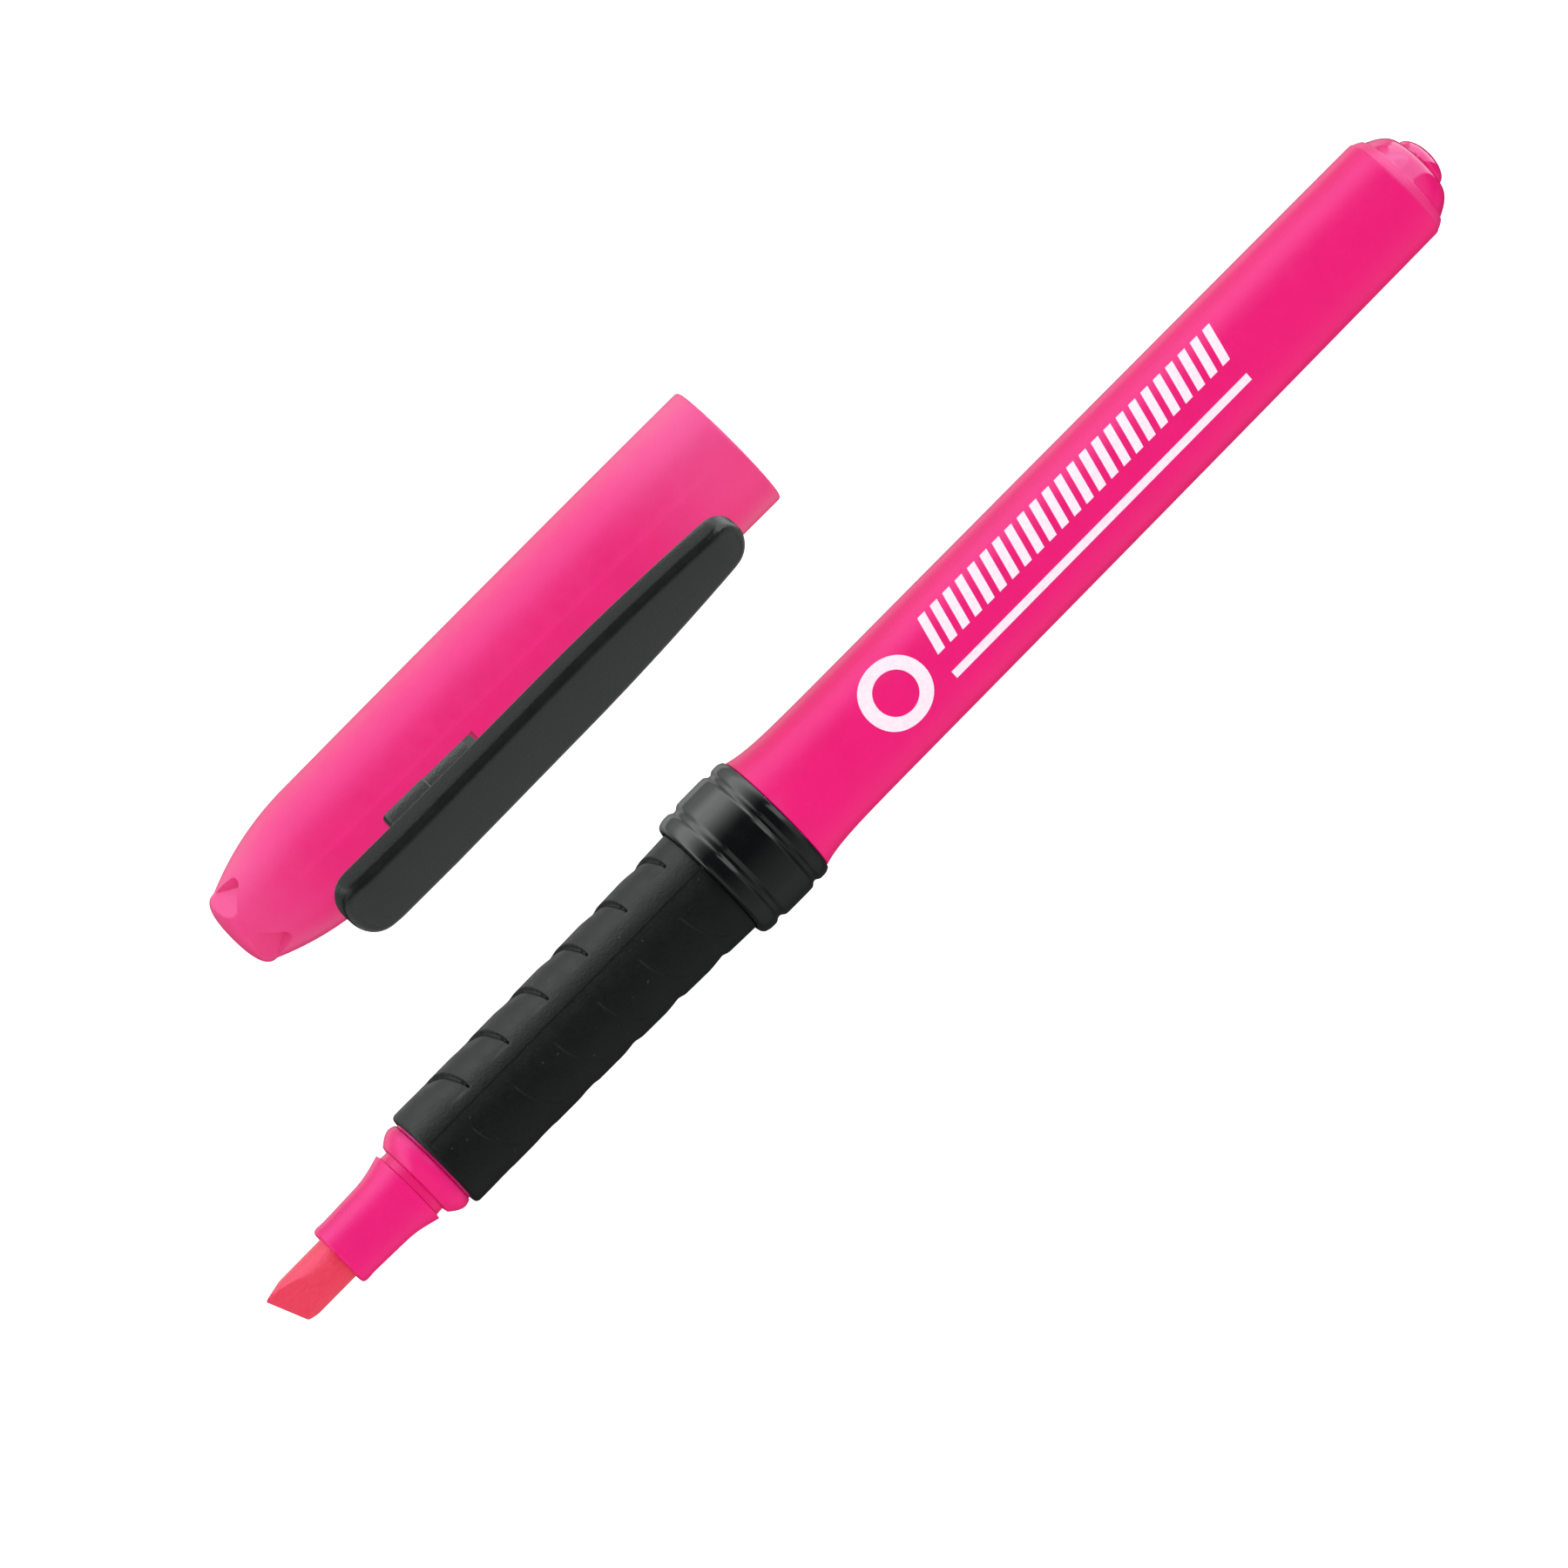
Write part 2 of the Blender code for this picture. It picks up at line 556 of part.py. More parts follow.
join.operation = "UNION"
join.solver = "EXACT"
join.object = foot
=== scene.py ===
import json
import math

import bmesh
import bpy
import numpy as np
from mathutils import Matrix, Vector


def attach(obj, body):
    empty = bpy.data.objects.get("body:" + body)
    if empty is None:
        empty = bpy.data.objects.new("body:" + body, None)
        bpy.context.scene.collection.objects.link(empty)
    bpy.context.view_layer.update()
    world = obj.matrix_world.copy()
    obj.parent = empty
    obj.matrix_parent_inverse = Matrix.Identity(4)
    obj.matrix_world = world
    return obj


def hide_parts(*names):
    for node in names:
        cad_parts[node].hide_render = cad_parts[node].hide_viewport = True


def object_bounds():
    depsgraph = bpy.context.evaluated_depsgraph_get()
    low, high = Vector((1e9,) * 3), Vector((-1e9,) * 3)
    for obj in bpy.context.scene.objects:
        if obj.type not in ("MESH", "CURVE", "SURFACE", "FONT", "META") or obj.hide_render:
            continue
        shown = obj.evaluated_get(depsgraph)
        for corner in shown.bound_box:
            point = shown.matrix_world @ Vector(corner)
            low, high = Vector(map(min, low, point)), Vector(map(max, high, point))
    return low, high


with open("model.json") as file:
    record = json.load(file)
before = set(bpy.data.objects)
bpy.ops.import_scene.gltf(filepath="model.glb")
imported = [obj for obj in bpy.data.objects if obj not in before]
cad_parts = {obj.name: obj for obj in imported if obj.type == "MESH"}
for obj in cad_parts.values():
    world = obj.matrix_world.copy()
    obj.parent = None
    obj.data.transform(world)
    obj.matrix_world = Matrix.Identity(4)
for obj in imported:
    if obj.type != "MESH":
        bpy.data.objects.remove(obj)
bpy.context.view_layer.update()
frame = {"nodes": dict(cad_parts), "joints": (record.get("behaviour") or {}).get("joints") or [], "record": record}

MM = 0.001
record = frame["record"]
nodes = frame["nodes"]

# ---------------------------------------------------------------------------
# frames of the two halves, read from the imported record
# ---------------------------------------------------------------------------
mounts = {m["name"]: m for m in record["mounts"]}
joints = {j["name"]: j for j in frame["joints"]}

pen_x = -Vector(mounts["collar_shoulder"]["axis"]).normalized()
pen_y = Vector((0.0, 1.0, 0.0))
pen_z = pen_x.cross(pen_y).normalized()
pen_o = Vector(mounts["collar_shoulder"]["pos_m"]) - pen_z * 5.93 * MM
PEN = Matrix(((pen_x.x, pen_y.x, pen_z.x, pen_o.x),
              (pen_x.y, pen_y.y, pen_z.y, pen_o.y),
              (pen_x.z, pen_y.z, pen_z.z, pen_o.z),
              (0, 0, 0, 1)))

cap_x = Vector(mounts["cap_mouth_rim"]["axis"]).normalized()
cap_y = Vector((-cap_x.y, cap_x.x, 0.0))
cap_o = Vector(mounts["cap_mouth_rim"]["pos_m"]) - Vector((0, 0, 5.99 * MM))
CAP = Matrix(((cap_x.x, cap_y.x, 0.0, cap_o.x),
              (cap_x.y, cap_y.y, 0.0, cap_o.y),
              (0.0, 0.0, 1.0, cap_o.z),
              (0, 0, 0, 1)))
flex = joints["clip_flex"]
lean = math.atan2(-flex["axis"][2], math.hypot(flex["axis"][0], flex["axis"][1]))
CLIP = CAP @ Matrix.Rotation(lean, 4, "X")


# ---------------------------------------------------------------------------
# materials: all procedural, on object coordinates in metres
# ---------------------------------------------------------------------------
def new_material(name):
    mat = bpy.data.materials.new(name)
    mat.use_nodes = True
    nt = mat.node_tree
    nt.nodes.clear()
    out = nt.nodes.new("ShaderNodeOutputMaterial")
    bsdf = nt.nodes.new("ShaderNodeBsdfPrincipled")
    nt.links.new(bsdf.outputs[0], out.inputs["Surface"])
    coord = nt.nodes.new("ShaderNodeTexCoord")
    return mat, nt, bsdf, coord.outputs["Object"]


def noise(nt, vec, scale, detail=2.0, rough=0.5):
    n = nt.nodes.new("ShaderNodeTexNoise")
    n.inputs["Scale"].default_value = scale
    n.inputs["Detail"].default_value = detail
    n.inputs["Roughness"].default_value = rough
    nt.links.new(vec, n.inputs["Vector"])
    return n.outputs["Fac"]


def remap(nt, value, lo, hi, to_lo, to_hi, smooth=False):
    m = nt.nodes.new("ShaderNodeMapRange")
    m.interpolation_type = "SMOOTHSTEP" if smooth else "LINEAR"
    m.inputs["From Min"].default_value = lo
    m.inputs["From Max"].default_value = hi
    m.inputs["To Min"].default_value = to_lo
    m.inputs["To Max"].default_value = to_hi
    nt.links.new(value, m.inputs["Value"])
    return m.outputs["Result"]


def math_node(nt, op, a, b=None):
    m = nt.nodes.new("ShaderNodeMath")
    m.operation = op
    for i, v in enumerate((a, b)):
        if v is None:
            continue
        if isinstance(v, (int, float)):
            m.inputs[i].default_value = v
        else:
            nt.links.new(v, m.inputs[i])
    return m.outputs[0]


def mix_color(nt, fac, a, b):
    m = nt.nodes.new("ShaderNodeMix")
    m.data_type = "RGBA"
    for sock, v in ((m.inputs["Factor"], fac), (m.inputs[6], a), (m.inputs[7], b)):
        if isinstance(v, tuple):
            sock.default_value = (*v, 1.0)
        elif isinstance(v, (int, float)):
            sock.default_value = v
        else:
            nt.links.new(v, sock)
    return m.outputs[2]


def bump(nt, heights, normal=None):
    """heights: list of (socket, distance in metres, strength)."""
    last = normal
    for h, dist, strength in heights:
        b = nt.nodes.new("ShaderNodeBump")
        b.inputs["Distance"].default_value = dist
        b.inputs["Strength"].default_value = strength
        nt.links.new(h, b.inputs["Height"])
        if last is not None:
            nt.links.new(last, b.inputs["Normal"])
        last = b.outputs["Normal"]
    return last


def local_coords(nt, vec, matrix):
    """Object coordinates turned into a piece's own axes (in metres)."""
    sub = nt.nodes.new("ShaderNodeVectorMath")
    sub.operation = "SUBTRACT"
    sub.inputs[1].default_value = matrix.translation
    nt.links.new(vec, sub.inputs[0])
    out = []
    for k in range(3):
        dot = nt.nodes.new("ShaderNodeVectorMath")
        dot.operation = "DOT_PRODUCT"
        dot.inputs[1].default_value = matrix.to_3x3().col[k]
        nt.links.new(sub.outputs[0], dot.inputs[0])
        out.append(dot.outputs["Value"])
    return out


def plastic(name, base, rough, spec=0.5, tint=None, grain=1.0, grain_scale=5200.0,
            mottle=0.05, rough_var=0.05, pale=None, painted_sheen_fac=None, coat=0.0):
    """Moulded plastic: faint colour mottling, uneven gloss, fine satin grain."""
    mat, nt, bsdf, vec = new_material(name)
    dark = tuple(c * (1.0 - mottle) for c in base)
    light = tuple(min(c * (1.0 + mottle) + 0.004 * mottle, 1.0) for c in base)
    mott = remap(nt, noise(nt, vec, 260.0, 3.0), 0.3, 0.7, 0.0, 1.0)
    fine = remap(nt, noise(nt, vec, 4200.0, 1.0), 0.3, 0.7, 0.0, 1.0)
    both = math_node(nt, "ADD", math_node(nt, "MULTIPLY", mott, 0.5),
                     math_node(nt, "MULTIPLY", fine, 0.5))
    color = mix_color(nt, both, dark, light)
    # optional painted sheen: the colour is mixed towards a pale tint where the mask says
    if pale is not None:
        color = mix_color(nt, painted_sheen_fac(nt, vec), color, pale)
    nt.links.new(color, bsdf.inputs["Base Color"])
    r = remap(nt, noise(nt, vec, 700.0, 3.0), 0.3, 0.7, rough - rough_var,
              rough + rough_var)
    nt.links.new(r, bsdf.inputs["Roughness"])
    bsdf.inputs["Specular IOR Level"].default_value = spec
    if tint is not None:
        bsdf.inputs["Specular Tint"].default_value = (*tint, 1.0)
    bsdf.inputs["Coat Weight"].default_value = coat
    n = bump(nt, [(noise(nt, vec, grain_scale, 1.0), 0.000012 * grain, 1.0),
                  (noise(nt, vec, 420.0, 2.0), 0.00001 * grain, 0.6)])
    nt.links.new(n, bsdf.inputs["Normal"])
    return mat


LAVENDER = (0.08, 0.50, 1.0)


def cap_painted_sheen(nt, vec):
    """Painted sheen: the cap's wall is painted paler near its mouth and over its closed end."""
    x, y, z = local_coords(nt, vec, CAP)
    mouth = remap(nt, x, -0.015, -0.001, 0.0, 0.085, True)
    closed = remap(nt, x, -0.0480, -0.0590, 0.0, 0.075, True)
    return math_node(nt, "ADD", mouth, closed)


m_barrel = plastic("pink_satin_barrel", (0.86, 0.0004, 0.162), 0.31, 0.50, LAVENDER,
                   grain=0.35, rough_var=0.03, mottle=0.04)
m_front = plastic("pink_semigloss_front", (0.86, 0.0010, 0.168), 0.30, 0.55, LAVENDER,
                  grain=0.35, rough_var=0.03, mottle=0.04)
m_plug = plastic("pink_gloss_plug", (0.86, 0.0010, 0.170), 0.12, 1.0, (0.30, 0.62, 1.0),
                 grain=0.12, rough_var=0.03)
# the plug's seam ring and cone are satin like the barrel; its dome is polished
nt = m_plug.node_tree
plug_bsdf = next(n for n in nt.nodes if n.type == "BSDF_PRINCIPLED")
plug_coord = next(n for n in nt.nodes if n.type == "TEX_COORD")
polish = plug_bsdf.inputs["Roughness"].links[0].from_socket
satin = remap(nt, local_coords(nt, plug_coord.outputs["Object"], PEN)[0],
              0.08508, 0.08512, 0.24, 0.0)
nt.links.new(math_node(nt, "ADD", polish, satin), plug_bsdf.inputs["Roughness"])
# the cap carries a painted sheen: paler pink painted near its mouth and over its closed end
m_cap = plastic("pink_satin_cap", (0.86, 0.0006, 0.150), 0.38, 0.75, LAVENDER,
                grain=0.6, rough_var=0.04, mottle=0.04, pale=(0.90, 0.50, 0.74),
                painted_sheen_fac=cap_painted_sheen)
m_collar = plastic("black_polished_collar", (0.0026, 0.0036, 0.0036), 0.17, 0.50,
                   (0.92, 1.0, 0.97), grain=0.12, rough_var=0.05, mottle=0.15)
m_clip = plastic("black_satin_clip", (0.0070, 0.0084, 0.0084), 0.30, 0.5,
                 (0.96, 1.0, 1.0), grain=2.1, grain_scale=4000.0, mottle=0.12)
m_seal = plastic("pink_seal_plastic", (0.62, 0.05, 0.20), 0.45, 0.4,
                 grain=0.8, mottle=0.03)
m_film = plastic("reservoir_film", (0.80, 0.78, 0.80), 0.22, 0.5,
                 grain=0.3, mottle=0.02)


def rubber_material():
    mat, nt, bsdf, vec = new_material("black_soft_rubber")
    mott = remap(nt, noise(nt, vec, 340.0, 4.0), 0.3, 0.7, 0.0, 1.0)
    fine = remap(nt, noise(nt, vec, 3600.0, 2.0), 0.3, 0.7, 0.0, 1.0)
    both = math_node(nt, "ADD", math_node(nt, "MULTIPLY", mott, 0.45),
                     math_node(nt, "MULTIPLY", fine, 0.55))
    color = mix_color(nt, both, (0.0024, 0.0034, 0.0032), (0.0050, 0.0062, 0.0058))
    # a few specks of lint
    speck = remap(nt, noise(nt, vec, 2600.0, 0.0), 0.84, 0.87, 0.0, 0.12)
    color = mix_color(nt, speck, color, (0.22, 0.22, 0.20))
    nt.links.new(color, bsdf.inputs["Base Color"])
    r = remap(nt, noise(nt, vec, 900.0, 3.0), 0.3, 0.7, 0.40, 0.50)
    nt.links.new(r, bsdf.inputs["Roughness"])
    bsdf.inputs["Specular IOR Level"].default_value = 0.27
    bsdf.inputs["Specular Tint"].default_value = (0.92, 1.0, 0.97, 1.0)
    n = bump(nt, [(noise(nt, vec, 4300.0, 2.0), 0.000038, 1.0),
                  (noise(nt, vec, 1300.0, 2.0), 0.000018, 0.7)])
    nt.links.new(n, bsdf.inputs["Normal"])
    return mat


def nib_material():
    """Bonded fibre soaked in ink: fine pores, drawn-out fibres along the pen."""
    mat, nt, bsdf, vec = new_material("inked_nib_fibre")
    x, y, z = local_coords(nt, vec, PEN)
    comb = nt.nodes.new("ShaderNodeCombineXYZ")
    nt.links.new(math_node(nt, "MULTIPLY", x, 0.28), comb.inputs[0])
    nt.links.new(y, comb.inputs[1])
    nt.links.new(z, comb.inputs[2])
    drawn = noise(nt, comb.outputs[0], 5200.0, 3.0, 0.6)
    pores = noise(nt, vec, 4200.0, 2.0, 0.6)
    broad = noise(nt, vec, 420.0, 2.0)
    f = remap(nt, math_node(nt, "ADD", math_node(nt, "MULTIPLY", drawn, 0.5),
                            math_node(nt, "ADD", math_node(nt, "MULTIPLY", pores, 0.25),
                                      math_node(nt, "MULTIPLY", broad, 0.25))),
              0.35, 0.65, 0.0, 1.0)
    color = mix_color(nt, f, (0.84, 0.014, 0.046), (0.90, 0.026, 0.062))
    nt.links.new(color, bsdf.inputs["Base Color"])
    r = remap(nt, drawn, 0.3, 0.7, 0.36, 0.48)
    nt.links.new(r, bsdf.inputs["Roughness"])
    bsdf.inputs["Specular IOR Level"].default_value = 0.85
    bsdf.inputs["Specular Tint"].default_value = (0.20, 0.62, 1.0, 1.0)
    bsdf.inputs["Sheen Weight"].default_value = 0.10
    bsdf.inputs["Sheen Roughness"].default_value = 0.5
    n = bump(nt, [(drawn, 0.000045, 1.0), (pores, 0.000035, 0.8)])
    nt.links.new(n, bsdf.inputs["Normal"])
    return mat


def fibre_material():
    mat, nt, bsdf, vec = new_material("ink_soaked_fibre")
    stretch = nt.nodes.new("ShaderNodeMapping")
    stretch.inputs["Scale"].default_value = (0.08, 1.0, 1.0)
    nt.links.new(vec, stretch.inputs["Vector"])
    strands = noise(nt, stretch.outputs[0], 3800.0, 4.0, 0.6)
    color = mix_color(nt, remap(nt, strands, 0.35, 0.65, 0.0, 1.0),
                      (0.66, 0.02, 0.13), (0.90, 0.10, 0.30))
    nt.links.new(color, bsdf.inputs["Base Color"])
    nt.links.new(remap(nt, strands, 0.3, 0.7, 0.75, 0.95), bsdf.inputs["Roughness"])
    n = bump(nt, [(strands, 0.00008, 1.0)])
    nt.links.new(n, bsdf.inputs["Normal"])
    return mat


def ink_print_material():
    """Screen-printed white ink: slightly uneven cover and a soft surface."""
    mat, nt, bsdf, vec = new_material("white_print_ink")
    cover = remap(nt, noise(nt, vec, 2600.0, 3.0), 0.3, 0.7, 0.0, 1.0)
    color = mix_color(nt, cover, (0.955, 0.745, 0.860), (0.985, 0.850, 0.925))
    nt.links.new(color, bsdf.inputs["Base Color"])
    nt.links.new(remap(nt, cover, 0.0, 1.0, 0.42, 0.55), bsdf.inputs["Roughness"])
    bsdf.inputs["Specular IOR Level"].default_value = 0.30
    n = bump(nt, [(noise(nt, vec, 3600.0, 2.0), 0.00001, 1.0)])
    nt.links.new(n, bsdf.inputs["Normal"])
    return mat


m_rubber = rubber_material()
m_nib = nib_material()
m_fibre = fibre_material()
m_print = ink_print_material()


# ---------------------------------------------------------------------------
# mesh helpers
# ---------------------------------------------------------------------------
def fillet(corners, steps=8):
    """(x, r) or (x, r, reach) corners; a reach rounds the corner with a
    circular arc when its two sides allow one."""
    out = []
    n = len(corners)
    for i, c in enumerate(corners):
        here = Vector((c[0], c[1]))
        if len(c) < 3 or i in (0, n - 1):
            out.append((here.x, here.y))
            continue
        before = Vector(corners[i - 1][:2]) - here
        after = Vector(corners[i + 1][:2]) - here
        reach = min(c[2], before.length * 0.49, after.length * 0.49)
        u, v = before.normalized(), after.normalized()
        half = u.angle(v) / 2.0
        if half > math.radians(89.0):
            out.append((here.x, here.y))
            continue
        radius = reach * math.tan(half)
        centre = here + (u + v).normalized() * (reach / math.cos(half))
        a, b = here + u * reach - centre, here + v * reach - centre
        turn = a.angle_signed(b)
        for k in range(steps + 1):
            ang = turn * k / steps
            ca, sa = math.cos(ang), math.sin(ang)
            # angle_signed is clockwise-positive
            p = centre + Vector((a.x * ca + a.y * sa, -a.x * sa + a.y * ca))
            out.append((p.x, p.y))
    return out


def tidy(profile, least=0.004):
    out = [profile[0]]
    for p in profile[1:]:
        if math.hypot(p[0] - out[-1][0], p[1] - out[-1][1]) > least:
            out.append(p)
    return out


def build_object(name, verts, faces, mat, sharp=34.0, merge=None):
    mesh = bpy.data.meshes.new(name)
    mesh.from_pydata([tuple(v) for v in verts], [], faces)
    bm = bmesh.new()
    bm.from_mesh(mesh)
    if merge:
        bmesh.ops.remove_doubles(bm, verts=bm.verts, dist=merge)
        bmesh.ops.dissolve_degenerate(bm, dist=merge * 0.5, edges=bm.edges)
    bmesh.ops.recalc_face_normals(bm, faces=bm.faces)
    bm.to_mesh(mesh)
    bm.free()
    mesh.shade_smooth()
    if sharp:
        mesh.set_sharp_from_angle(angle=math.radians(sharp))
    obj = bpy.data.objects.new(name, mesh)
    mesh.materials.append(mat)
    bpy.context.scene.collection.objects.link(obj)
    return obj


def ring_grid(rings, loop, start):
    """Faces between rings of equal length; loop joins the last to the first."""
    faces = []
    count = len(rings)
    pairs = [(i, i + 1) for i in range(count - 1)]
    if loop:
        pairs.append((count - 1, 0))
    for a, b in pairs:
        ra, rb = rings[a], rings[b]
        if len(ra) == 1 and len(rb) == 1:
            continue
        n = max(len(ra), len(rb))
        for j in range(n):
            k = (j + 1) % n
            if len(ra) == 1:
                faces.append((ra[0], rb[k], rb[j]))
            elif len(rb) == 1:
                faces.append((ra[j], ra[k], rb[0]))
            else:
                faces.append((ra[j], ra[k], rb[k], rb[j]))
    return faces


def revolve(name, profile, matrix, mat, ring=True, seg=144, thetas=None,
            shape=None, sharp=34.0):
    """Turn an (x, r) profile in mm about the local X axis.  theta runs from
    local +Z towards local +Y.  shape(xs, rs, thetas) may move the grid."""
    profile = tidy(profile)
    if thetas is None:
        thetas = np.linspace(0.0, 2 * math.pi, seg, endpoint=False)
    thetas = np.asarray(thetas)
    xs = np.array([p[0] for p in profile])
    rs = np.array([p[1] for p in profile])
    X = np.repeat(xs[:, None], len(thetas), 1)
    R = np.repeat(rs[:, None], len(thetas), 1)
    T = np.repeat(thetas[None, :], len(xs), 0)
    Y, Z = R * np.sin(T), R * np.cos(T)
    if shape is not None:
        X, Y, Z = shape(X, Y, Z, R, T)
    m = np.array(matrix)
    verts, rings = [], []
    for i in range(len(xs)):
        if rs[i] < 1e-6:
            rings.append([len(verts)])
            verts.append((X[i, 0], 0.0, 0.0))
        else:
            base = len(verts)
            rings.append(list(range(base, base + len(thetas))))
            verts.extend(zip(X[i], Y[i], Z[i]))
    pts = np.array(verts, float) * MM
    pts = pts @ m[:3, :3].T + m[:3, 3]
    faces = ring_grid(rings, ring, 0)
    return build_object(name, pts, faces, mat, sharp)


def along(f, a, b, n):
    return [(x, f(x)) for x in np.linspace(a, b, n)]


def place(obj, body, slot, *replaced):
    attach(obj, body)
    if replaced:
        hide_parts(*replaced)
    return obj


def smoothstep(a, b, v):
    t = np.clip((v - a) / (b - a), 0.0, 1.0)
    return t * t * (3 - 2 * t)


# ---------------------------------------------------------------------------
# pen: barrel
# ---------------------------------------------------------------------------
def barrel_r(x):
    run = (x - 8.2) / 76.05
    belly = 0.045 * math.sin(math.pi * min(max(run, 0.0), 1.0))
    return 5.57 - 0.23 * run + belly + 0.57 * math.exp(-(x - 8.2) / 2.0)


barrel_profile = ([(8.03, 4.45), (8.03, barrel_r(8.2) - 0.10),
                   (8.06, barrel_r(8.2) - 0.03)]
                  + along(barrel_r, 8.14, 20.0, 34)
                  + along(barrel_r, 22.0, 83.6, 26)
                  + [(83.90, 5.340), (84.06, 5.328), (84.17, 5.310), (84.23, 5.280),
                     (84.25, 5.235), (84.25, 4.45)])
barrel = place(revolve("barrel_body", barrel_profile, PEN, m_barrel, seg=160),
               "pen", "pink_barrel", "barrel")

# ---------------------------------------------------------------------------
# pen: end plug, a seam ring, a cone, a dome and a domed button
# ---------------------------------------------------------------------------
dome_ends = [(85.26, 4.56), (86.35, 4.06), (87.14, 3.50), (87.22, 2.60)]
dome = [tuple(sum(w * p[k] for w, p in zip(
    ((1 - u) ** 3, 3 * u * (1 - u) ** 2, 3 * u * u * (1 - u), u ** 3), dome_ends))
    for k in (0, 1)) for u in np.linspace(0.0, 1.0, 26)]
button = [(87.26 + 1.24 * math.sin(a), 2.48 * math.cos(a))
          for a in np.linspace(0.0, math.pi / 2 - 0.06, 22)]
plug_profile = fillet([
    (83.2, 0.0), (83.2, 3.3), (75.6, 3.3), (75.6, 4.02, 0.1), (76.4, 4.32, 0.3),
    (84.256, 4.32), (84.256, 5.225, 0.02), (84.62, 5.09, 0.05), (85.05, 4.84, 0.03),
    (85.10, 4.66, 0.03), dome[0]], 6) \
    + dome[1:] + [(87.23, 2.54)] \
    + button + [(88.5, 0.0)]
place(revolve("plug_body", plug_profile, PEN, m_plug, ring=False, seg=144),
      "pen", "pink_plug", "end_plug")

# ---------------------------------------------------------------------------
# pen: collar with two beads, two grooves and a raised band
# ---------------------------------------------------------------------------
collar_profile = fillet([
    (0.4, 4.45), (0.4, 5.74), (0.0, 5.74), (0.0, 6.14, 0.10), (0.20, 6.42, 0.22),
    (0.75, 6.60, 0.45), (1.52, 6.60, 0.35), (1.86, 6.36, 0.12), (2.18, 6.36, 0.12),
    (2.60, 6.66, 0.14), (3.20, 6.68, 0.3), (5.20, 6.68, 0.3), (5.84, 6.66, 0.14),
    (6.20, 6.36, 0.12), (6.48, 6.36, 0.12), (6.78, 6.60, 0.3), (7.50, 6.61, 0.35),
    (7.95, 6.40, 0.2), (8.0, 6.22), (8.0, 4.45)], 7)
place(revolve("collar_ring", collar_profile, PEN, m_collar, seg=160),
      "pen", "black_gloss", "collar")

# ---------------------------------------------------------------------------
# pen: front section
# ---------------------------------------------------------------------------
front_profile = fillet([
    (-45.5, 2.3), (-45.5, 2.97, 0.30), (-45.1, 3.13, 0.3), (-44.3, 3.06, 0.5),
    (-39.3, 3.20, 1.1), (-37.0, 3.80, 0.06), (-36.92, 3.42, 0.05), (-36.2, 3.38, 0.05),
    (-36.10, 3.93, 0.06), (-35.42, 4.46, 0.35), (-34.7, 4.74, 0.45),
    (-34.05, 4.52, 0.15), (-34.0, 4.35), (19.2, 4.35), (20.0, 4.10),
    (20.0, 3.75), (-33.0, 3.75), (-33.0, 2.9), (-34.0, 2.3)], 7)
place(revolve("front_body", front_profile, PEN, m_front, seg=144),
      "pen", "pink_front", "front_section")

# ---------------------------------------------------------------------------
# pen: rubber grip with nail-shaped dents
# ---------------------------------------------------------------------------
GRIP_X0, GRIP_X1 = -33.8, 0.1
GRIP_R_MEAN = 5.3


def grip_r(x):
    run = (x - GRIP_X0) / (GRIP_X1 - GRIP_X0)
    return 5.18 + 0.40 * run ** 3


def dent_depth(x, theta):
    """Depth in mm of the dents and of the parting line at a surface point."""
    depth = np.zeros_like(x)
    two_pi = 2 * math.pi
    for turn in (0.0, math.pi):
        # strong row: starts beside the parting line and sweeps towards the nib
        for k in range(6):
            start = math.radians(39.0 - 2.9 * k)
            th = np.mod(theta - turn - start + 0.5, two_pi) - 0.5
            du = th * GRIP_R_MEAN
            inside = np.clip(du, 0.0, 6.6)
            sweep = 10.4 - np.sqrt(108.16 - inside * inside)
            grow = smoothstep(0.0, 0.35, du) * (1 - smoothstep(5.4, 6.6, du))
            width = 0.22 + 0.46 * smoothstep(0.0, 2.6, du)
            d = (-2.0 - 5.06 * k) - sweep - x
            wall = smoothstep(-0.05, 0.07, d)
            dent = wall * (1 - smoothstep(0.30, 1.0, d / width))
            scale = wall * (1 - smoothstep(0.0, 1.0, d / 2.7))
            rim = 0.17 + 0.08 * smoothstep(3.2, 4.6, du)
            depth += grow * (0.20 * dent + rim * scale)
        # weak row: below the parting line, sweeping towards the plug
        th = np.mod(turn - theta + 0.5, two_pi) - 0.5
        du = th * GRIP_R_MEAN
        inside = np.clip(du, 0.0, 6.6)
        sweep = 7.6 - np.sqrt(np.clip(57.8 - inside * inside, 0.0, None))
        grow = smoothstep(0.0, 0.6, du) * (1 - smoothstep(4.6, 6.4, du))
        for k in range(6):
            d = x - ((-4.4 - 5.06 * k) + sweep)
            wall = smoothstep(-0.07, 0.07, d)
            dent = wall * (1 - smoothstep(0.25, 1.0, d / 0.42))
            depth += grow * 0.095 * dent
        # the parting line is a small step between the two halves of the mould
        line = (np.mod(theta - turn - math.radians(14.0) + math.pi,
                       two_pi) - math.pi) * GRIP_R_MEAN
        depth += 0.055 * (1 - smoothstep(-0.05, 0.05, line)) * smoothstep(-1.5, -0.1, line)
    return depth


def shape_grip(X, Y, Z, R, T):
    outer = (R > 4.9)
    fade = smoothstep(GRIP_X0 + 0.3, GRIP_X0 + 0.8, X) * (
        1 - smoothstep(GRIP_X1 - 0.8, GRIP_X1 - 0.3, X))
    d = dent_depth(X, T) * fade * outer
    return X, (R - d) * np.sin(T), (R - d) * np.cos(T)


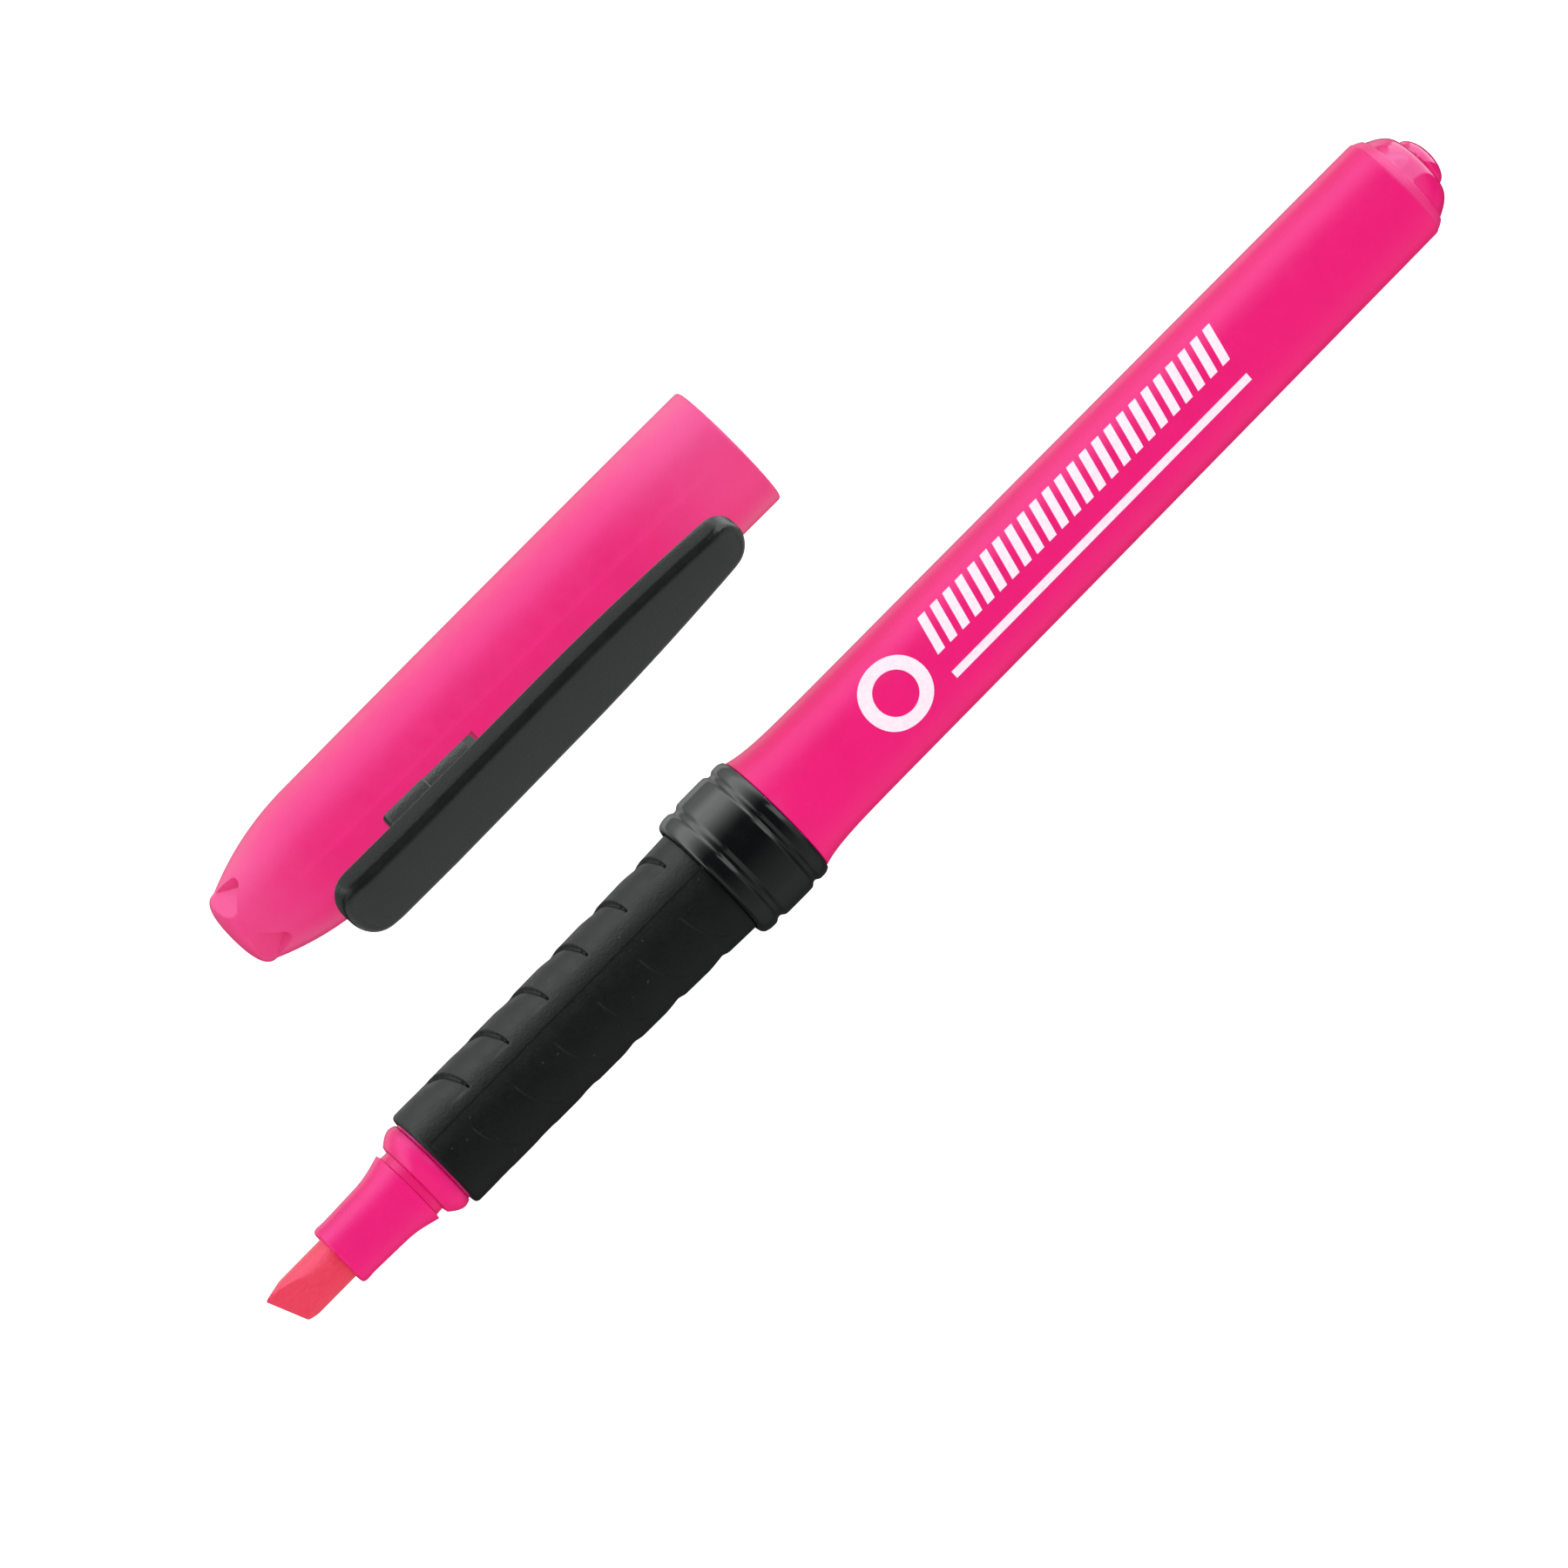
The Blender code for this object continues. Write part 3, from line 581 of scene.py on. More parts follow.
grip_thetas = set(np.round(np.linspace(0, 2 * math.pi, 268, endpoint=False), 6))
for turn in (0.0, math.pi):
    for off in (-0.13, -0.08, -0.04, 0.0, 0.04, 0.08, 0.13):
        grip_thetas.add(round((math.radians(14.0) + turn
                               + off / GRIP_R_MEAN) % (2 * math.pi), 6))
grip_thetas = sorted(grip_thetas)
kept = [grip_thetas[0]]
for t in grip_thetas[1:]:
    if t - kept[-1] > 0.004:
        kept.append(t)
grip_profile = ([(GRIP_X0, 4.45), (GRIP_X0, 4.86), (-33.78, 4.95), (-33.72, 5.03),
                 (-33.63, 5.10), (-33.50, 5.155)]
                + along(grip_r, -33.36, -0.06, 330)
                + [(0.02, 5.52), (0.07, 5.46), (0.1, 5.38), (0.1, 4.45)])
place(revolve("grip_rubber", grip_profile, PEN, m_rubber, thetas=kept,
              shape=shape_grip, sharp=50.0),
      "pen", "black_rubber", "grip_sleeve")

# ---------------------------------------------------------------------------
# pen: chisel nib, a rod cut at a slant with two soft facets
# ---------------------------------------------------------------------------
NIB_R = 2.20
TIP = -52.55


def soft_min(a, b, k):
    h = np.clip(0.5 + 0.5 * (b - a) / k, 0.0, 1.0)
    return b + (a - b) * h - k * h * (1 - h)


def slant_x(y):
    """x of the slanted end across the nib."""
    line = TIP + (1.75 - y) * 0.405
    corner = TIP + (y - 1.75) * 4.4
    low = TIP + 1.52 + (-2.02 - y) * 5.0
    return -soft_min(soft_min(-line, -corner, 0.35), -low, 0.55)


def nib_ring(x_of_y, shrink, push, phi):
    """One closed ring: a circle cut flat above and below, inset by shrink."""
    ca, sa = np.cos(phi), np.sin(phi)
    y = NIB_R * ca
    x = x_of_y(y)
    for _ in range(6):
        h = 1.05 + (NIB_R - 1.05) * np.clip((x - TIP) / 4.6, 0.0, 1.0)
        flat = h / np.maximum(np.abs(sa), 1e-4)
        rho = soft_min(np.full_like(phi, NIB_R), flat, 0.05) - shrink
        y = rho * ca
        x = x_of_y(y) + push
    return np.stack([x, y, rho * sa], 1)


def make_nib():
    phi = np.linspace(0, 2 * math.pi, 160, endpoint=False)
    rings = []
    for t in np.linspace(0.0, 1.0, 7)[1:-1]:          # the slanted end face
        base = nib_ring(slant_x, 0.16, 0.0, phi)
        y = base[:, 1] * t
        rings.append(np.stack([slant_x(y), y, base[:, 2] * t], 1))
    for a in np.linspace(0.0, math.pi / 2, 7):        # its rounded rim
        rings.append(nib_ring(slant_x, 0.16 * (1 - math.sin(a)),
                              0.16 * (1 - math.cos(a)), phi))
    end = -46.6
    for t in np.linspace(0.0, 1.0, 44)[1:]:
        rings.append(nib_ring(lambda y, t=t: (slant_x(y) + 0.16) * (1 - t)
                              + end * t, 0.0, 0.0, phi))
    for x, r in ((-40.0, NIB_R), (-34.9, NIB_R), (-34.68, 2.06), (-34.6, 1.9),
                 (-34.4, 1.3), (-34.2, 1.2), (-26.2, 1.2), (-26.0, 1.05)):
        rings.append(np.stack([np.full_like(phi, x), r * np.cos(phi),
                               r * np.sin(phi)], 1))
    verts, index = [], []
    verts.append((float(slant_x(np.array([0.0]))[0]), 0.0, 0.0))
    index.append([0])
    for ring in rings:
        index.append(list(range(len(verts), len(verts) + len(phi))))
        verts.extend(map(tuple, ring))
    index.append([len(verts)])
    verts.append((-26.0, 0.0, 0.0))
    m = np.array(PEN)
    pts = np.array(verts, float) * MM @ m[:3, :3].T + m[:3, 3]
    return build_object("nib_fibre_body", pts, ring_grid(index, False, 0), m_nib, 60.0)


place(make_nib(), "pen", "nib_fibre", "chisel_nib")


# ---------------------------------------------------------------------------
# pen: generic print on the barrel, thin raised patches of white ink
# ---------------------------------------------------------------------------
def print_patches():
    verts, faces = [], []
    top, under = 0.022, -0.05

    def add_strip(bottom, upper, n):
        """A patch between two curves of (x, s) points; s is the arc height
        in mm from the top line of the barrel towards +Y."""
        for lift in (top, under):
            for j in range(n + 1):
                f = j / n
                for (xa, sa), (xb, sb) in zip(bottom, upper):
                    x, s = xa + (xb - xa) * f, sa + (sb - sa) * f
                    r = barrel_r(x)
                    a = s / r
                    verts.append((x, (r + lift) * math.sin(a), (r + lift) * math.cos(a)))

    def strip(bottom, upper, n):
        w = len(bottom)
        base = len(verts)
        add_strip(bottom, upper, n)
        half = w * (n + 1)
        for j in range(n):
            for i in range(w - 1):
                a = base + j * w + i
                faces.append((a, a + 1, a + w + 1, a + w))
                b = a + half
                faces.append((b, b + w, b + w + 1, b + 1))
        edge = ([base + i for i in range(w)]
                + [base + j * w + w - 1 for j in range(1, n + 1)]
                + [base + n * w + i for i in range(w - 2, -1, -1)]
                + [base + j * w for j in range(n - 1, 0, -1)])
        for a, b in zip(edge, edge[1:] + edge[:1]):
            faces.append((a, a + half, b + half, b))

    # a plain ring
    cx, cs, outer, inner = 22.3, 0.0, 3.35, 2.05
    base = len(verts)
    count = 72
    bands = 6
    for lift in (top, under):
        for rad in np.linspace(outer, inner, bands + 1):
            for i in range(count):
                a = 2 * math.pi * i / count
                x, s = cx + rad * math.cos(a), cs + rad * math.sin(a)
                r = barrel_r(x)
                verts.append((x, (r + lift) * math.sin(s / r),
                              (r + lift) * math.cos(s / r)))
    for i in range(count):
        j = (i + 1) % count
        bo = base + (bands + 1) * count
        for b in range(bands):
            to, ti = base + b * count, base + (b + 1) * count
            faces.append((to + i, to + j, ti + j, ti + i))
            uo, ui = bo + b * count, bo + (b + 1) * count
            faces.append((uo + i, ui + i, ui + j, uo + j))
        ti, bi = base + bands * count, bo + bands * count
        faces.append((base + i, bo + i, bo + j, base + j))
        faces.append((ti + i, ti + j, bi + j, bi + i))
    # a band of even slanted strokes
    pitch, stroke, slope = 1.52, 0.86, 1.05
    low, high = -0.25, 3.40
    for k in range(24):
        x = 27.2 + pitch * k
        bottom = [(x, low), (x + stroke, low)]
        upper = [(x + slope, high), (x + stroke + slope, high)]
        strip(bottom, upper, 10)
    # a plain thin bar below it
    xs = np.linspace(27.0, 63.2, 30)
    strip([(x, -2.95) for x in xs], [(x, -2.15) for x in xs], 3)
    m = np.array(PEN)
    pts = np.array(verts, float) * MM @ m[:3, :3].T + m[:3, 3]
    return build_object("barrel_print", pts, faces, m_print, 40.0)


place(print_patches(), "pen", "pink_barrel")


# ---------------------------------------------------------------------------
# cap: shell with scoops in its closed end and a slot for the clip's foot
# ---------------------------------------------------------------------------
def cap_r(x):
    if x >= -47.7:
        return 6.38 - 0.28 * (x / -47.7) ** 2
    run = (-47.7 - x) / 11.4
    return 6.10 - 2.39 * run ** 2.13


SCOOP_APEX = -56.8
SCOOP_TURN = lean - math.radians(1.5)


def shape_cap(X, Y, Z, R, T):
    outer = (X < -53.7) & (R > 0.01)
    inner = X > -56.29
    # the inner wall ends at x = -56.3; outer points beyond are the closed end
    skin = outer & ((~inner) | (R > np.vectorize(cap_r)(np.clip(X, -59.7, 0.0)) - 0.3))
    for quarter in range(4):
        a = SCOOP_TURN + quarter * math.pi / 2
        ca, sa = math.cos(a), math.sin(a)
        # turn so that the scoop faces local +z
        y = Y * ca + Z * sa
        z = -Y * sa + Z * ca
        along_x = SCOOP_APEX - X
        half = 0.26 + along_x * 0.86
        # distance outside the triangle, with a round apex
        side = (np.abs(y) - half) * 0.76
        front = -along_x * 1.0
        out = np.sqrt(np.clip(side, 0, None) ** 2 + np.clip(front, 0, None) ** 2)
        floor = cap_r(SCOOP_APEX) - 1.02 - along_x * 0.06
        wall = floor + 4.2 * out
        new = np.where(z > 0.4, soft_min(z, wall, 0.07), z)
        new = np.where(new > z, z, new)
        new = np.where(skin & (z > 0.4), new, z)
        Y = y * ca - new * sa
        Z = y * sa + new * ca
    return X, Y, Z


cap_outer = [(0.0, 5.98), (-0.015, 6.10), (-0.05, 6.20), (-0.12, 6.295), (-0.21, 6.35),
             (-0.33, 6.378)]
cap_outer += along(cap_r, -0.8, -47.7, 40)
cap_outer += along(cap_r, -48.1, -54.1, 22)
cap_outer += along(cap_r, -54.2, -58.70, 80)
end_corner = []
r_edge = cap_r(-58.70)
for a in np.linspace(0.0, 1.0, 34)[1:]:
    # rounds over from the side to the gently domed end face
    px = -58.70 - 1.60 * math.sin(a * math.pi / 2)
    pr = r_edge * (1 - a ** 2.4)
    end_corner.append((px, pr))
cap_outer += end_corner[:-1] + [(-60.3, 0.0)]
cap_inner = [(-56.3, 0.0)]
cap_inner += [(x, cap_r(x) - 0.95) for x in np.linspace(-56.3, -48.7, 12)]
cap_inner += [(x, cap_r(x) - 0.78) for x in np.linspace(-44.7, -2.4, 16)]
cap_inner += [(-1.9, 5.60), (-1.5, 5.70), (-0.25, 5.72), (-0.12, 5.75), (-0.03, 5.82),
              (0.0, 5.90)]
cap = revolve("cap_body", cap_inner + cap_outer, CAP, m_cap, ring=False, seg=224,
              shape=shape_cap, sharp=40.0)


def rounded_block(name, x0, x1, half0, half1, z0, z1, step_x):
    """A block with a stepped side, for cutting the slot."""
    corner = [(x0 + 0.62 * (1 - math.cos(a)), half0 - 0.62 + 0.62 * math.sin(a))
              for a in np.linspace(0.0, math.pi / 2, 9)]
    pts = ([(x, -y) for x, y in corner]
           + [(step_x, -half0), (step_x, -half1), (x1, -half1),
              (x1, half1), (step_x, half1), (step_x, half0)] + corner[::-1])
    bm = bmesh.new()
    vs = [bm.verts.new((x * MM, y * MM, z0 * MM)) for x, y in pts]
    face = bm.faces.new(vs)
    grown = bmesh.ops.extrude_face_region(bm, geom=[face])
    bmesh.ops.translate(bm, vec=(0, 0, (z1 - z0) * MM), verts=[
        v for v in grown["geom"] if isinstance(v, bmesh.types.BMVert)])
    bmesh.ops.recalc_face_normals(bm, faces=bm.faces)
    mesh = bpy.data.meshes.new(name)
    bm.transform(CLIP)
    bm.to_mesh(mesh)
    bm.free()
    obj = bpy.data.objects.new(name, mesh)
    bpy.context.scene.collection.objects.link(obj)
    return obj


def bake_boolean(obj, cutter, sharp):
    mod = obj.modifiers.new("cut", "BOOLEAN")
    mod.operation = "DIFFERENCE"
    mod.solver = "EXACT"
    mod.object = cutter
    deps = bpy.context.evaluated_depsgraph_get()
    mesh = bpy.data.meshes.new_from_object(obj.evaluated_get(deps))
    obj.modifiers.clear()
    old = obj.data
    obj.data = mesh
    bpy.data.meshes.remove(old)
    cut_mesh = cutter.data
    bpy.data.objects.remove(cutter, do_unlink=True)
    bpy.data.meshes.remove(cut_mesh)
    mesh.shade_smooth()
    mesh.set_sharp_from_angle(angle=math.radians(sharp))


slot = rounded_block("slot_tool", -44.24, -33.4, 3.06, 2.98, 3.4, 8.0, -39.2)
bake_boolean(cap, slot, 40.0)
cap.name = "cap_body"
place(cap, "cap", "pink_cap", "cap_shell")

# the seal cup inside the cap
seal_profile = fillet([
    (-54.5, 0.0), (-54.5, 3.1, 0.6), (-51.8, 4.40, 1.2), (-38.2, 4.40, 0.5),
    (-36.6, 4.79, 0.5), (-33.5, 4.79), (-33.0, 4.91, 0.05), (-33.0, 5.12, 0.05),
    (-47.2, 5.04, 1.6), (-51.4, 4.72, 0.8), (-55.3, 3.78, 0.5), (-55.3, 0.0)], 6)
place(revolve("seal_cup", seal_profile, CAP, m_seal, ring=False, seg=96),
      "cap", "seal_plastic", "cap_inner_seal")

# ---------------------------------------------------------------------------
# clip: lofted as rings that follow its outline, so the rounded shoulder runs
# all the way round
# ---------------------------------------------------------------------------
CX0, CX1 = -52.3, -4.8


def clip_under(x):
    return 7.15 - 0.013 * np.clip(x + 42.0, 0.0, None)


def clip_half(x):
    t = np.clip(x + 25.7, 0.0, None) / 18.4
    half = 3.45 - 0.9 * t ** 1.9
    rear = np.clip((x - CX0) / 2.7, 0.0, 1.0)
    half = half * (1 - (1 - rear) ** 2.35) ** (1 / 2.1)
    front = np.clip((CX1 - x) / 2.1, 0.0, 1.0)
    half = half * (1 - (1 - front) ** 2.1) ** (1 / 2.05)
    return half


def clip_top(x):
    rear = np.clip(1.0 - (x - CX0) / 4.2, 0.0, 1.0)
    front = np.clip(1.0 - (CX1 - x) / 3.0, 0.0, 1.0)
    return (9.7 - 0.021 * np.clip(x + 42.0, 0.0, None)
            - 0.95 * rear ** 2.2 - 0.80 * front ** 2.2)


def outline(n_side=150, n_end=26):
    """Closed outline: along +y side to the free end and back on the -y side."""
    u = np.concatenate([
        CX0 + 2.7 * (1 - np.cos(np.linspace(0, math.pi / 2, n_end))),
        np.linspace(CX0 + 2.7, CX1 - 2.1, n_side)[1:-1],
        CX1 - 2.1 * (1 - np.cos(np.linspace(math.pi / 2, 0, n_end)))])
    h = clip_half(u)
    h[0] = h[-1] = 0.0
    up = np.stack([u, h], 1)
    down = np.stack([u[::-1], -h[::-1]], 1)[1:-1]
    return np.concatenate([up, down])


def inset(points, dist):
    """Move a closed outline inwards by dist."""
    nxt = np.roll(points, -1, 0)
    prv = np.roll(points, 1, 0)
    tang = nxt - prv
    tang /= np.maximum(np.linalg.norm(tang, axis=1)[:, None], 1e-9)
    # the outline runs clockwise seen from +z, so the inside is on its right
    inward = np.stack([tang[:, 1], -tang[:, 0]], 1)
    return points + inward * dist


def make_clip():
    base = outline()
    spine_lo, spine_hi = CX0 + 3.0, CX1 - 2.3
    rings = []

    def top_at(p):
        half = np.maximum(clip_half(np.clip(p[:, 0], CX0 + 2.7, CX1 - 2.1)), 1.0)
        crown = 0.13 * (1 - np.clip(np.abs(p[:, 1]) / half, 0, 1) ** 2)
        return clip_top(p[:, 0]) - 0.03 + crown

    shoulder = 0.84
    # underside, from its middle outwards
    spine = np.stack([np.clip(base[:, 0], spine_lo, spine_hi),
                      np.zeros(len(base))], 1)
    lip = inset(base, 0.16)
    for t in (0.02, 0.35, 0.7, 1.0):
        p = spine + (lip - spine) * t
        rings.append(np.column_stack([p, clip_under(p[:, 0])]))
    for a in np.linspace(0, math.pi / 2, 5)[1:]:
        p = inset(base, 0.16 * (1 - math.sin(a)))
        rings.append(np.column_stack([p, clip_under(p[:, 0])
                                      + 0.16 * (1 - math.cos(a))]))
    shoulder_z = top_at(inset(base, shoulder)) - shoulder
    for t in (0.35, 0.7, 1.0):
        low_z = clip_under(base[:, 0]) + 0.16
        z = low_z + (shoulder_z - low_z) * t
        rings.append(np.column_stack([base, z]))
    for a in np.linspace(0, math.pi / 2, 11)[1:]:
        p = inset(base, shoulder * (1 - math.cos(a)))
        rings.append(np.column_stack([p, shoulder_z + shoulder * math.sin(a)]))
    rim = inset(base, shoulder)
    for t in np.linspace(1.0, 0.02, 12)[1:]:
        p = spine + (rim - spine) * t
        z = top_at(p)
        rings.append(np.column_stack([p, z]))
    verts = np.concatenate(rings)
    n = len(base)
    index = [list(range(i * n, (i + 1) * n)) for i in range(len(rings))]
    faces = ring_grid(index, False, 0)
    # close the two long thin middles
    for ring_id in (0, len(rings) - 1):
        ids = index[ring_id]
        half = n // 2
        for i in range(half):
            a, b = ids[i], ids[(i + 1) % n]
            c, d = ids[(n - i - 1) % n], ids[(n - i) % n]
            quad = []
            for v in (a, b, c, d):
                if v not in quad:
                    quad.append(v)
            if len(quad) >= 3:
                faces.append(tuple(quad))
    m = np.array(CLIP)
    pts = verts * MM @ m[:3, :3].T + m[:3, 3]
    return build_object("clip_body", pts, faces, m_clip, 48.0, merge=0.000012)


def foot_block():
    """The foot below the clip: two steps and a chamfered end, following the
    cap's bore underneath."""
    verts, faces = [], []
    stations = [(-44.1 + 0.60 * (1 - math.cos(a)), 2.36 + 0.60 * math.sin(a))
                for a in np.linspace(0.0, math.pi / 2, 9)]
    stations += [(-39.32, 2.96), (-39.25, 2.88), (-34.7, 2.88), (-34.55, 2.82),
                 (-33.72, 2.30)]
    n = 16
    for x, half in stations:
        for j in range(n + 1):
            y = -half + 2 * half * j / n
            verts.append((x, y, math.sqrt(5.56 ** 2 - y * y)))
        for j in range(n + 1):
            y = half - 2 * half * j / n
            verts.append((x, y, 7.3))
    w = 2 * (n + 1)
    for i in range(len(stations) - 1):
        for j in range(w):
            k = (j + 1) % w
            faces.append((i * w + j, i * w + k, (i + 1) * w + k, (i + 1) * w + j))
    faces.append(tuple(range(w)))
    faces.append(tuple(range((len(stations) - 1) * w, len(stations) * w)))
    m = np.array(CLIP)
    pts = np.array(verts) * MM @ m[:3, :3].T + m[:3, 3]
    return build_object("clip_foot", pts, faces, m_clip, 35.0)


clip = make_clip()
place(clip, "clip", "black_clip", "clip")
place(foot_block(), "clip", "black_clip")

# ---------------------------------------------------------------------------
# inner CAD pieces that stay: new materials only
# ---------------------------------------------------------------------------
for node, mat in (("ink_reservoir", m_fibre), ("reservoir_wrap", m_film)):
    obj = nodes[node]
    if not obj.data.materials:
        obj.data.materials.append(mat)
    for s in obj.material_slots:
        s.material = mat


# ---------------------------------------------------------------------------
# floor, light and camera
# ---------------------------------------------------------------------------
def stage_mesh(name, verts, faces):
    mesh = bpy.data.meshes.new(name)
    mesh.from_pydata(verts, [], faces)
    obj = bpy.data.objects.new(name, mesh)
    bpy.context.scene.collection.objects.link(obj)
    return obj


floor_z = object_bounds()[0][2] - 0.00002
floor = stage_mesh("floor", [(-6, -6, floor_z), (6, -6, floor_z), (6, 6, floor_z),
                             (-6, 6, floor_z)], [(0, 1, 2, 3)])
floor_mat = bpy.data.materials.new("pale_floor")
floor_mat.use_nodes = True
fb = floor_mat.node_tree.nodes["Principled BSDF"]
fb.inputs["Base Color"].default_value = (0.93, 0.93, 0.93, 1)
fb.inputs["Roughness"].default_value = 0.9
fb.inputs["Specular IOR Level"].default_value = 0.0
fb.inputs["Emission Color"].default_value = (1, 1, 1, 1)
fb.inputs["Emission Strength"].default_value = 0.78
floor.data.materials.append(floor_mat)
floor.visible_glossy = False
floor.visible_diffuse = False

# a big even dome gives the soft diffuse light
bm = bmesh.new()
bmesh.ops.create_uvsphere(bm, u_segments=48, v_segments=24, radius=8.0)
dome_mesh = bpy.data.meshes.new("light_dome")
bm.to_mesh(dome_mesh)
bm.free()
dome_obj = bpy.data.objects.new("light_dome", dome_mesh)
bpy.context.scene.collection.objects.link(dome_obj)
dm = bpy.data.materials.new("light_dome")
dm.use_nodes = True
nt = dm.node_tree
nt.nodes.clear()
out = nt.nodes.new("ShaderNodeOutputMaterial")
em = nt.nodes.new("ShaderNodeEmission")
tc = nt.nodes.new("ShaderNodeTexCoord")
sep = nt.nodes.new("ShaderNodeSeparateXYZ")
nt.links.new(tc.outputs["Object"], sep.inputs[0])
low = remap(nt, sep.outputs[2], -2.0, 1.0, 1.22, 1.08, True)
nt.links.new(low, em.inputs["Strength"])
nt.links.new(em.outputs[0], out.inputs["Surface"])
dome_mesh.materials.append(dm)
dome_obj.visible_camera = False
dome_obj.visible_glossy = False
dome_obj.visible_shadow = False

# the studio that the glossy surfaces mirror: soft boxes as a function of
# direction, brightest low on the +Y side
world = bpy.data.worlds.new("studio")
bpy.context.scene.world = world
world.use_nodes = True
wt = world.node_tree
wt.nodes.clear()
wo = wt.nodes.new("ShaderNodeOutputWorld")
bg = wt.nodes.new("ShaderNodeBackground")
white = wt.nodes.new("ShaderNodeBackground")
white.inputs["Strength"].default_value = 1.05
mixw = wt.nodes.new("ShaderNodeMixShader")
path = wt.nodes.new("ShaderNodeLightPath")
wc = wt.nodes.new("ShaderNodeTexCoord")
ws = wt.nodes.new("ShaderNodeSeparateXYZ")
wt.links.new(wc.outputs["Generated"], ws.inputs[0])
dx, dy, dz = ws.outputs
STUDIO = [(-180, 0.03), (-140, 0.10), (-95, 0.52), (-60, 0.46), (-36, 0.26),
          (-14, 0.04), (0, 0.02), (22, 0.05), (36, 0.70), (52, 2.3), (68, 3.4),
          (90, 3.7), (108, 2.8), (134, 1.6), (160, 0.5), (180, 0.05)]
BY_THE_PEN = [(-180, 0.03), (0, 0.02), (25, 0.05), (36, 0.60), (52, 2.0), (68, 3.3),
              (90, 3.3), (108, 1.5), (134, 0.5), (160, 0.2), (180, 0.05)]
PEAK = 4.0


def profile_ramp(tree, degrees, profile):
    ramp = tree.nodes.new("ShaderNodeValToRGB")
    tree.links.new(remap(tree, degrees, -180.0, 180.0, 0.0, 1.0), ramp.inputs[0])
    cr = ramp.color_ramp
    cr.interpolation = "LINEAR"
    while len(cr.elements) > 1:
        cr.elements.remove(cr.elements[-1])
    for i, (deg, val) in enumerate(profile):
        pos = (deg + 180) / 360
        e = cr.elements[0] if i == 0 else cr.elements.new(pos)
        e.position = pos
        e.color = (val / PEAK, val / PEAK, val / PEAK, 1)
    return math_node(tree, "MULTIPLY", ramp.outputs[0], PEAK)


angle = math_node(wt, "MULTIPLY", math_node(wt, "ARCTAN2", dy, dz), 180 / math.pi)
band = profile_ramp(wt, angle, STUDIO)
# the two ends of the studio
endness = remap(wt, math_node(wt, "ABSOLUTE", dx), 0.42, 0.80, 0.0, 1.0, True)
ends = remap(wt, dz, -0.25, 0.55, 0.10, 0.85, True)
azim = math_node(wt, "MULTIPLY", math_node(wt, "ARCTAN2", dy, dx), 180 / math.pi)
elev = math_node(wt, "MULTIPLY", math_node(wt, "ARCSINE", dz), 180 / math.pi)
win = math_node(wt, "MULTIPLY", remap(wt, azim, -15.0, -13.0, 0.0, 1.0),
                remap(wt, math_node(wt, "SUBTRACT", azim,
                                    math_node(wt, "MULTIPLY", elev, 0.38)),
                      49.0, 53.0, 1.0, 0.0))
win = math_node(wt, "MULTIPLY", win, remap(wt, elev, -52.0, -47.0, 0.0, 1.0))
win = math_node(wt, "MULTIPLY", win, remap(wt, elev, 52.0, 58.0, 1.0, 0.0))
win = math_node(wt, "MULTIPLY", win, remap(wt, dx, 0.30, 0.42, 0.0, 1.0))
window = math_node(wt, "MULTIPLY", win, 2.6)
mixed = math_node(wt, "ADD",
                  math_node(wt, "MULTIPLY", band,
                            math_node(wt, "SUBTRACT", 1.0, endness)),
                  math_node(wt, "MULTIPLY", ends, endness))
mixed = math_node(wt, "MAXIMUM", mixed, window)
wt.links.new(mixed, bg.inputs["Strength"])
wt.links.new(path.outputs["Is Camera Ray"], mixw.inputs[0])
wt.links.new(bg.outputs[0], mixw.inputs[1])
wt.links.new(white.outputs[0], mixw.inputs[2])
wt.links.new(mixw.outputs[0], wo.inputs["Surface"])
world.cycles_visibility.diffuse = False

# Two cards that only the glossy surfaces see.  One stands between the pen and
# the cap and carries on the studio's light for the pen, so that each of them is
# lit as if it lay alone; the other shades the clip's side wall.
def card(name, corners, strength):
    obj = stage_mesh(name, corners, [(0, 1, 2, 3)])
    mat = bpy.data.materials.new(name)
    mat.use_nodes = True
    tree = mat.node_tree
    tree.nodes.clear()
    out = tree.nodes.new("ShaderNodeOutputMaterial")
    emit = tree.nodes.new("ShaderNodeEmission")
    where = tree.nodes.new("ShaderNodeTexCoord")
    split = tree.nodes.new("ShaderNodeSeparateXYZ")
    tree.links.new(where.outputs["Object"], split.inputs[0])
    tree.links.new(strength(tree, *split.outputs), emit.inputs["Strength"])
    tree.links.new(emit.outputs[0], out.inputs["Surface"])
    mat.cycles.emission_sampling = "NONE"
    obj.data.materials.append(mat)
    obj.visible_camera = False
    obj.visible_diffuse = False
    obj.visible_transmission = False
    obj.visible_shadow = False
    return obj


def pen_side(tree, x, y, z):
    rise = math_node(tree, "SUBTRACT", z, 0.011)
    bearing = math_node(tree, "ARCTAN2", 0.0105, rise)
    band = profile_ramp(tree, math_node(tree, "MULTIPLY", bearing, 180 / math.pi),
                        BY_THE_PEN)
    # beyond the pen's rear end it carries on the window that the plug mirrors
    rear = pen_o.x + 97.5 * MM
    beyond = remap(tree, x, rear, rear + 1.2 * MM, 0.0, 2.6)
    return math_node(tree, "MAXIMUM", band, beyond)


